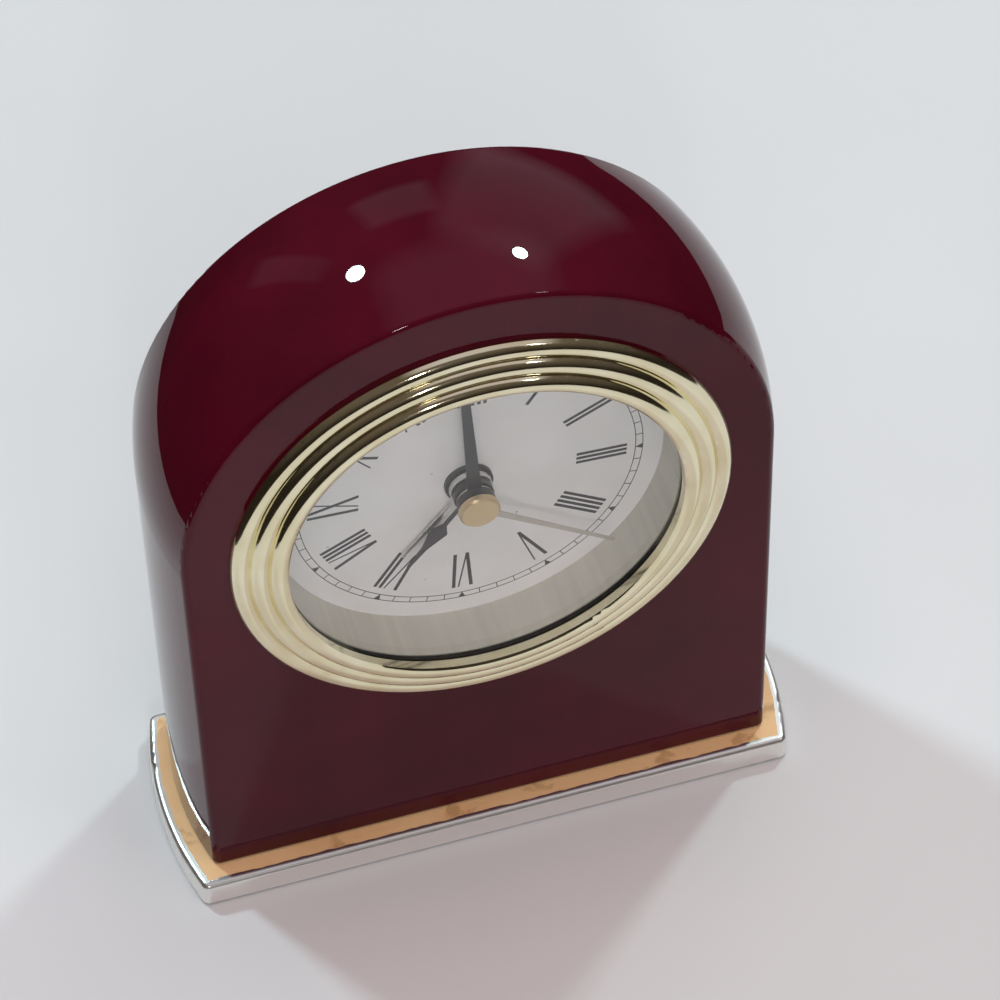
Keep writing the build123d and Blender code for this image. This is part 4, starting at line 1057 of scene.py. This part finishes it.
@dataclass
class DialFace(SubAssembly):
    """The dial with its printed hours and minute track, in millimetres."""

    FINISHES = {"dial": ENAMEL, "dial_bush": BLACK_PLASTIC, "rehaut": REHAUT}

    turn: float = INSERT_TURN
    hours: tuple[str, ...] = (
        "I", "II", "III", "IIII", "V", "VI", "VII", "VIII", "IX", "X", "XI", "XII")
    minutes: int = 60
    figure_foot: float = 15.3
    figure_height: float = 7.15
    figure_gap: float = 0.33
    ink: float = 0.02
    track_inner: float = 23.7
    track_outer: float = 24.72
    track_line: float = 0.12
    tick_width: float = 0.13
    mark_width: float = 1.0
    mark_point: float = 0.04

    def spoke(self, degrees: float, reach: float = 0.0, shift: float = 0.0) -> Matrix:
        """Gives the place of something printed on the dial, its head pointing away from the centre.

        Args:
            degrees: Clock angle from twelve, turning right.
            reach: Millimetres from the centre to its foot.
            shift: Millimetres that it stands to its right.

        Returns:
            The matrix that takes it from millimetres at the origin to its place in metres.
        """
        low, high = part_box("dial")
        middle = (low + high) / 2
        turned = radians(degrees + self.turn)
        right = Vector((cos(turned), 0.0, -sin(turned)))
        up = Vector((sin(turned), 0.0, cos(turned)))
        at = Vector((middle.x, low.y, middle.z)) + (right * shift + up * reach) * MM
        return placing(right, up, Vector((0.0, -1.0, 0.0)), at, MM)

    def numeral_places(self) -> dict[Figure, list[Matrix]]:
        """Lays out the twelve numerals.

        Returns:
            Each figure's places, one for each time that it is used.
        """
        places: dict[Figure, list[Matrix]] = {figure: [] for figure in Figure}
        for number, hour in enumerate(self.hours, start=1):
            figures = [Figure[letter] for letter in hour]
            gaps = self.figure_gap * (len(figures) - 1)
            shift = -(sum(figure.value[0] for figure in figures) + gaps) / 2
            degrees = FULL_TURN / len(self.hours) * number
            for figure in figures:
                places[figure].append(self.spoke(degrees, self.figure_foot, shift))
                shift += figure.value[0] + self.figure_gap
        return places

    def build_numerals(self) -> Piece:
        """Models the printed hours, each stroke once and then copied round the dial.

        Returns:
            The numerals in one piece.
        """
        printed: list[Piece] = []
        for figure, places in self.numeral_places().items():
            for stroke in figure.value[1]:
                bar = Bench.bar(stroke.foot, stroke.head, self.figure_height, self.ink)
                printed += Bench.stamp(bar, places)
        return Bench.join("dial_numerals", printed)

    def build_track(self) -> Piece:
        """Models the minute track: two circles, a tick for each minute and a mark for each five.

        Returns:
            The track in one piece.
        """
        depth = self.track_outer - self.track_inner
        printed: list[Piece] = []
        half = self.track_line / 2
        for reach in (self.track_inner, self.track_outer):
            ring = Bench.ring(reach - half, reach + half, self.ink)
            printed += Bench.stamp(ring, [self.spoke(0.0)])
        spokes = [self.spoke(FULL_TURN / self.minutes * n, self.track_inner) for n in range(self.minutes)]
        apart = self.minutes // len(self.hours)
        half = self.tick_width / 2
        tick = Bench.bar((-half, half), (-half, half), depth, self.ink)
        printed += Bench.stamp(tick, [spoke for n, spoke in enumerate(spokes) if n % apart])
        foot, head = self.mark_point / 2, self.mark_width / 2
        mark = Bench.bar((-foot, foot), (-head, head), depth, self.ink)
        printed += Bench.stamp(mark, spokes[::apart])
        return Bench.join("minute_track", printed)

    def build(self) -> None:
        """Prints the dial."""
        for piece in (self.build_numerals(), self.build_track()):
            self.fit(piece, "insert", "black_enamel", PRINT)


@dataclass
class HandStack(SubAssembly):
    """The hands on their common axis."""

    FINISHES = {"alarm_hand": SILVER_HAND, "hour_hand": BLACK_HAND, "hand_washer": SILVER_HAND,
                "minute_hand": BLACK_HAND, "second_hand": SECOND_HAND}


@dataclass
class Movement(SubAssembly):
    """The quartz movement inside the insert."""

    FINISHES = {
        **dict.fromkeys(("train_plate", "hour_wheel", "alarm_wheel", "minute_wheel", "coil_bobbin",
                         "intermediate_wheel", "time_set_arbor", "alarm_set_arbor"), WHITE_PLASTIC),
        **dict.fromkeys(("centre_wheel", "third_wheel", "second_wheel", "rotor_pinion"), TRAIN_BRASS),
        **dict.fromkeys(("train_bridge", "stator", "battery_contacts"), BRIDGE_STEEL),
        "bridge_screws": STEEL, "rotor_magnet": FERRITE, "coil_winding": COPPER,
        "circuit_board": GREEN_BOARD, "quartz_crystal": CRYSTAL_CAN, "buzzer": BUZZER, "battery": CELL}


@dataclass
class BackCover(SubAssembly):
    """The insert's housing and back, with its knobs, switch and cell door, and their painted signs."""

    FINISHES = {
        **dict.fromkeys(("housing", "back_cover", "battery_door", "time_set_knob", "alarm_set_knob"),
                        BLACK_PLASTIC),
        "grip_ring": BLACK_RUBBER, "cover_screws": STEEL, "alarm_switch": RED_PLASTIC}

    turn: float = INSERT_TURN
    relief: float = 0.15
    letter: float = 1.9
    word_rise: float = 7.4
    arrow_inner: float = 5.2
    arrow_outer: float = 5.6
    arrow_start: float = 40.0
    arrow_sweep: float = 95.0
    arrow_head: float = 1.5
    arrow_point: float = 0.06
    switch_at: Pair = (0.0, 20.0)
    switch_word_reach: float = 7.6
    sign_width: float = 0.5
    sign_length: float = 2.2
    sign_reach: float = 12.6

    def spot(self, ground: float, at: Pair, degrees: float = 0.0) -> Matrix:
        """Gives a place on the back, as seen from behind.

        Args:
            ground: Where the surface lies, front to back, in metres.
            at: Millimetres to the right of and above the insert's axis.
            degrees: How far the thing there is turned left.

        Returns:
            The matrix that takes it from millimetres at the origin to its place in metres.
        """
        low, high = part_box("back_cover")
        middle = (low + high) / 2
        tilt = radians(self.turn)
        right = Vector((-cos(tilt), 0.0, sin(tilt)))
        up = Vector((sin(tilt), 0.0, cos(tilt)))
        place = Vector((middle.x, ground, middle.z)) + (right * at[0] + up * at[1]) * MM
        upright = placing(right, up, Vector((0.0, 1.0, 0.0)), place, MM)
        return upright @ Matrix.Rotation(radians(degrees), 4, "Z")

    def seen_from_behind(self, node: str) -> Pair:
        """Gives a node's middle as seen from behind.

        Args:
            node: The node's name.

        Returns:
            Millimetres to the right of and above the insert's axis.
        """
        low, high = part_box("back_cover")
        axis = (low + high) / 2
        low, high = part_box(node)
        away = ((low + high) / 2 - axis) / MM
        tilt = radians(self.turn)
        return -away.x * cos(tilt) + away.z * sin(tilt), away.x * sin(tilt) + away.z * cos(tilt)

    def build_cover_signs(self) -> Piece:
        """Models the raised words and turning arrows on the cover.

        Returns:
            The signs in one piece.
        """
        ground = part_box("back_cover")[1].y
        made: list[Piece] = []
        half, point = self.arrow_head / 2, self.arrow_point / 2
        reach = (self.arrow_inner + self.arrow_outer) / 2
        end = radians(self.arrow_start)
        for node, text in (("time_set_knob", "TIME"), ("alarm_set_knob", "ALARM")):
            across, above = self.seen_from_behind(node)
            word = Bench.word(text, self.letter, self.relief)
            made += Bench.stamp(word, [self.spot(ground, (across, above + self.word_rise))])
            band = Bench.arc(
                self.arrow_inner, self.arrow_outer, self.arrow_start, self.arrow_sweep, self.relief)
            made += Bench.stamp(band, [self.spot(ground, (across, above))])
            head = Bench.bar((-half, half), (-point, point), self.arrow_head, self.relief)
            tip = (across + reach * cos(end), above + reach * sin(end))
            made += Bench.stamp(head, [self.spot(ground, tip, self.arrow_start + FULL_TURN / 2)])
        for text, side in (("ON", -1.0), ("OFF", 1.0)):
            word = Bench.word(text, self.letter, self.relief)
            at = (self.switch_at[0] + side * self.switch_word_reach, self.switch_at[1])
            made += Bench.stamp(word, [self.spot(ground, at)])
        return Bench.join("cover_signs", made)

    def build_door_signs(self) -> Piece:
        """Models the raised plus and minus on the cell door.

        Returns:
            The signs in one piece.
        """
        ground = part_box("battery_door")[1].y
        across, above = self.seen_from_behind("battery_door")
        left, right = across - self.sign_reach, across + self.sign_reach
        half, long = self.sign_width / 2, self.sign_length / 2
        dash = Bench.bar((-long, long), (-long, long), self.sign_width, self.relief)
        made = Bench.stamp(dash, [self.spot(ground, (place, above - half)) for place in (left, right)])
        stem = long - half
        post = Bench.bar((-half, half), (-half, half), stem, self.relief)
        feet = (above + half, above - half - stem)
        made += Bench.stamp(post, [self.spot(ground, (right, foot)) for foot in feet])
        return Bench.join("door_signs", made)

    def build(self) -> None:
        """Adds the painted signs."""
        self.fit(self.build_cover_signs(), "insert", "white_plastic", SIGN_PAINT)
        self.fit(self.build_door_signs(), "door", "white_plastic", SIGN_PAINT)


@dataclass(frozen=True)
class Lamp:
    """A round soft lamp that looks at the clock."""

    name: str
    azimuth: float
    elevation: float
    distance: float
    diameter: float
    watts: float
    colour: Triple
    mirrored: bool = True

    def hang(self, target: Vector) -> None:
        """Hangs the lamp.

        Args:
            target: The point that it looks at.
        """
        out = heading(self.azimuth, self.elevation)
        Bench.clear()
        bpy.ops.object.light_add(type="AREA", location=target + out * self.distance)
        lamp = bpy.context.object
        lamp.name = self.name
        lamp.rotation_euler = (-out).to_track_quat("-Z", "Y").to_euler()
        lamp.data.shape = "DISK"
        lamp.data.size = self.diameter
        lamp.data.energy = self.watts
        lamp.data.color = self.colour
        lamp.visible_glossy = self.mirrored
        lamp.visible_transmission = False


@dataclass(frozen=True)
class RoomPatch:
    """A pale patch of the room, such as a ceiling or a wall, that polished surfaces mirror.

    Its half sizes are tangents of the angles from its middle to its edges.
    """

    azimuth: float
    elevation: float
    half_width: float
    half_height: float
    level: float
    soft: float = 0.2
    fade: Pair = (0.0, 0.1)

    def share(self, graph: Graph, way: Socket) -> Socket:
        """Gives the patch's light in each direction.

        Args:
            graph: The room's nodes.
            way: The socket that gives the direction.

        Returns:
            The socket of the light, which falls to 0 outside the patch.
        """
        out = heading(self.azimuth, self.elevation)
        side = radians(self.azimuth)
        right = Vector((cos(side), sin(side), 0.0))
        ahead = graph.dot(way, out)
        light = graph.spread(ahead, self.fade, (0.0, self.level))
        for axis, half in ((right, self.half_width), (out.cross(right), self.half_height)):
            offset = graph.math("ABSOLUTE", graph.math("DIVIDE", graph.dot(way, axis), ahead))
            edge = (half * (1.0 - self.soft), half * (1.0 + self.soft))
            light = graph.math("MULTIPLY", light, graph.spread(offset, edge, (1.0, 0.0)))
        return light


@dataclass
class Studio:
    """The table, lamps, room and camera."""

    target: Vector = field(default_factory=lambda: Vector((6.05, 0.0, 54.5)) * MM)
    azimuth: float = -15.44
    elevation: float = 50.81
    roll: float = -1.69
    distance: float = 653.71 * MM
    focal_pixels: float = 4747.29
    image_pixels: float = 1000.0
    sensor: float = 36.0
    nearest: float = 10.0 * MM
    table_size: Pair = (450.0 * MM, 850.0 * MM)
    table_middle: Triple = (75.0 * MM, -25.0 * MM, 0.0)
    floor_size: Pair = (8.0, 8.0)
    floor_middle: Triple = (0.0, 0.0, -0.2 * MM)
    table_finish: Finish = Finish(
        "pale_table", tint(222, 226, 227), tint(217, 221, 222), smooth=0.5, rough=0.62, scale=6.0)
    room_colour: Colour = (1.0, 0.82, 0.68, 1.0)
    room_rise: Pair = (0.0, 0.65)
    room_levels: Pair = (0.02, 0.12)
    patch_colour: Colour = (1.0, 0.95, 1.1, 1.0)
    patches: tuple[RoomPatch, ...] = (
        RoomPatch(90.0, 79.0, 0.62, 0.54, 0.42),
        RoomPatch(144.0, 32.0, 0.31, 0.45, 0.5),
        RoomPatch(180.0, 36.0, 0.16, 0.13, 0.45),
        RoomPatch(-145.0, 28.0, 0.07, 0.23, 0.24),
    )
    lamps: tuple[Lamp, ...] = (
        Lamp("lamp_behind_left", -146.0, 53.0, 1.3, 0.13, 5.2, (0.7, 0.93, 1.0)),
        Lamp("lamp_behind_right", 129.0, 54.0, 1.3, 0.1, 3.4, (0.76, 1.0, 0.95)),
        Lamp("lamp_front_left", -11.0, 32.0, 1.4, 0.1, 1.4, (0.95, 0.95, 1.0)),
        Lamp("lamp_front_right", 44.0, 45.0, 1.4, 0.1, 0.6, (0.95, 0.95, 1.0)),
        Lamp("fill_overhead", 0.0, 84.0, 1.1, 0.8, 4.1, (1.0, 0.69, 0.66), mirrored=False),
        Lamp("fill_front", -8.0, 38.0, 1.4, 0.9, 4.0, (0.98, 0.93, 0.94), mirrored=False),
    )

    def lay_sheet(self, room: FinishRoom, name: str, size: Pair, middle: Triple) -> Piece:
        """Lays a flat sheet of the table's finish.

        Args:
            room: Where finishes are made.
            name: The sheet's name.
            size: Its sides from left to right and from front to back.
            middle: Where its middle lies.

        Returns:
            The new sheet.
        """
        sheet = Bench.square()
        sheet.name = name
        sheet.data.transform(Matrix.Translation(middle) @ Matrix.Diagonal((*size, 1.0, 1.0)))
        room.coat(sheet, self.table_finish)
        return sheet

    def lay_table(self, room: FinishRoom) -> None:
        """Lays the pale table top, and round it a like floor that polish doesn't mirror."""
        self.lay_sheet(room, "table_top", self.table_size, self.table_middle)
        self.lay_sheet(room, "far_floor", self.floor_size, self.floor_middle).visible_glossy = False

    def paint_room(self) -> None:
        """Lights the dim room and its pale patches."""
        world = bpy.data.worlds.new("dim_room")
        world.use_nodes = True
        world.node_tree.nodes.clear()
        graph = Graph(world.node_tree)
        way = graph.add("ShaderNodeTexCoord").outputs["Generated"]
        rise = graph.dot(way, Vector((0.0, 0.0, 1.0)))
        dimness = graph.spread(rise, self.room_rise, self.room_levels)
        dim = graph.add("ShaderNodeBackground", {0: self.room_colour, 1: dimness})
        level: Feed = 0.0
        for patch in self.patches:
            level = graph.math("ADD", patch.share(graph, way), level)
        pale = graph.add("ShaderNodeBackground", {0: self.patch_colour, 1: level})
        light = graph.add("ShaderNodeAddShader", {0: dim.outputs[0], 1: pale.outputs[0]})
        graph.link(light.outputs[0], graph.add("ShaderNodeOutputWorld"), "Surface")
        bpy.context.scene.world = world

    def stand_camera(self) -> None:
        """Stands the camera where the photograph was taken."""
        back = heading(self.azimuth, self.elevation)
        level = Vector((cos(radians(self.azimuth)), sin(radians(self.azimuth)), 0.0))
        plumb = back.cross(level)
        lean = radians(self.roll)
        right = level * cos(lean) + plumb * sin(lean)
        up = plumb * cos(lean) - level * sin(lean)
        Bench.clear()
        bpy.ops.object.camera_add()
        camera = bpy.context.object
        camera.name = "photo_camera"
        camera.data.sensor_width = self.sensor
        camera.data.lens = self.focal_pixels * self.sensor / self.image_pixels
        camera.data.clip_start = self.nearest
        camera.matrix_world = placing(right, up, back, self.target + back * self.distance)
        bpy.context.scene.camera = camera

    def set_up(self, room: FinishRoom) -> None:
        """Sets up the whole studio.

        Args:
            room: Where finishes are made.
        """
        self.lay_table(room)
        self.paint_room()
        for lamp in self.lamps:
            lamp.hang(self.target)
        self.stand_camera()
        bpy.context.scene.view_settings.view_transform = "Standard"
        LOG.info("studio set up with %d lamps", len(self.lamps))


def clear_startup() -> None:
    """Removes the objects that a new file starts with."""
    for spare in list(bpy.data.objects):
        bpy.data.objects.remove(spare, do_unlink=True)


def main() -> None:
    """Builds and dresses the clock and sets up the studio."""
    logging.basicConfig(level=logging.INFO, format="%(message)s")
    clear_startup()
    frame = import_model()
    room = FinishRoom(frame["nodes"])
    for kind in (CaseStand, BezelGlass, DialFace, HandStack, Movement, BackCover):
        assembly = kind(room)
        assembly.build()
        assembly.dress()
    Studio().set_up(room)


if __name__ == "__main__":
    main()
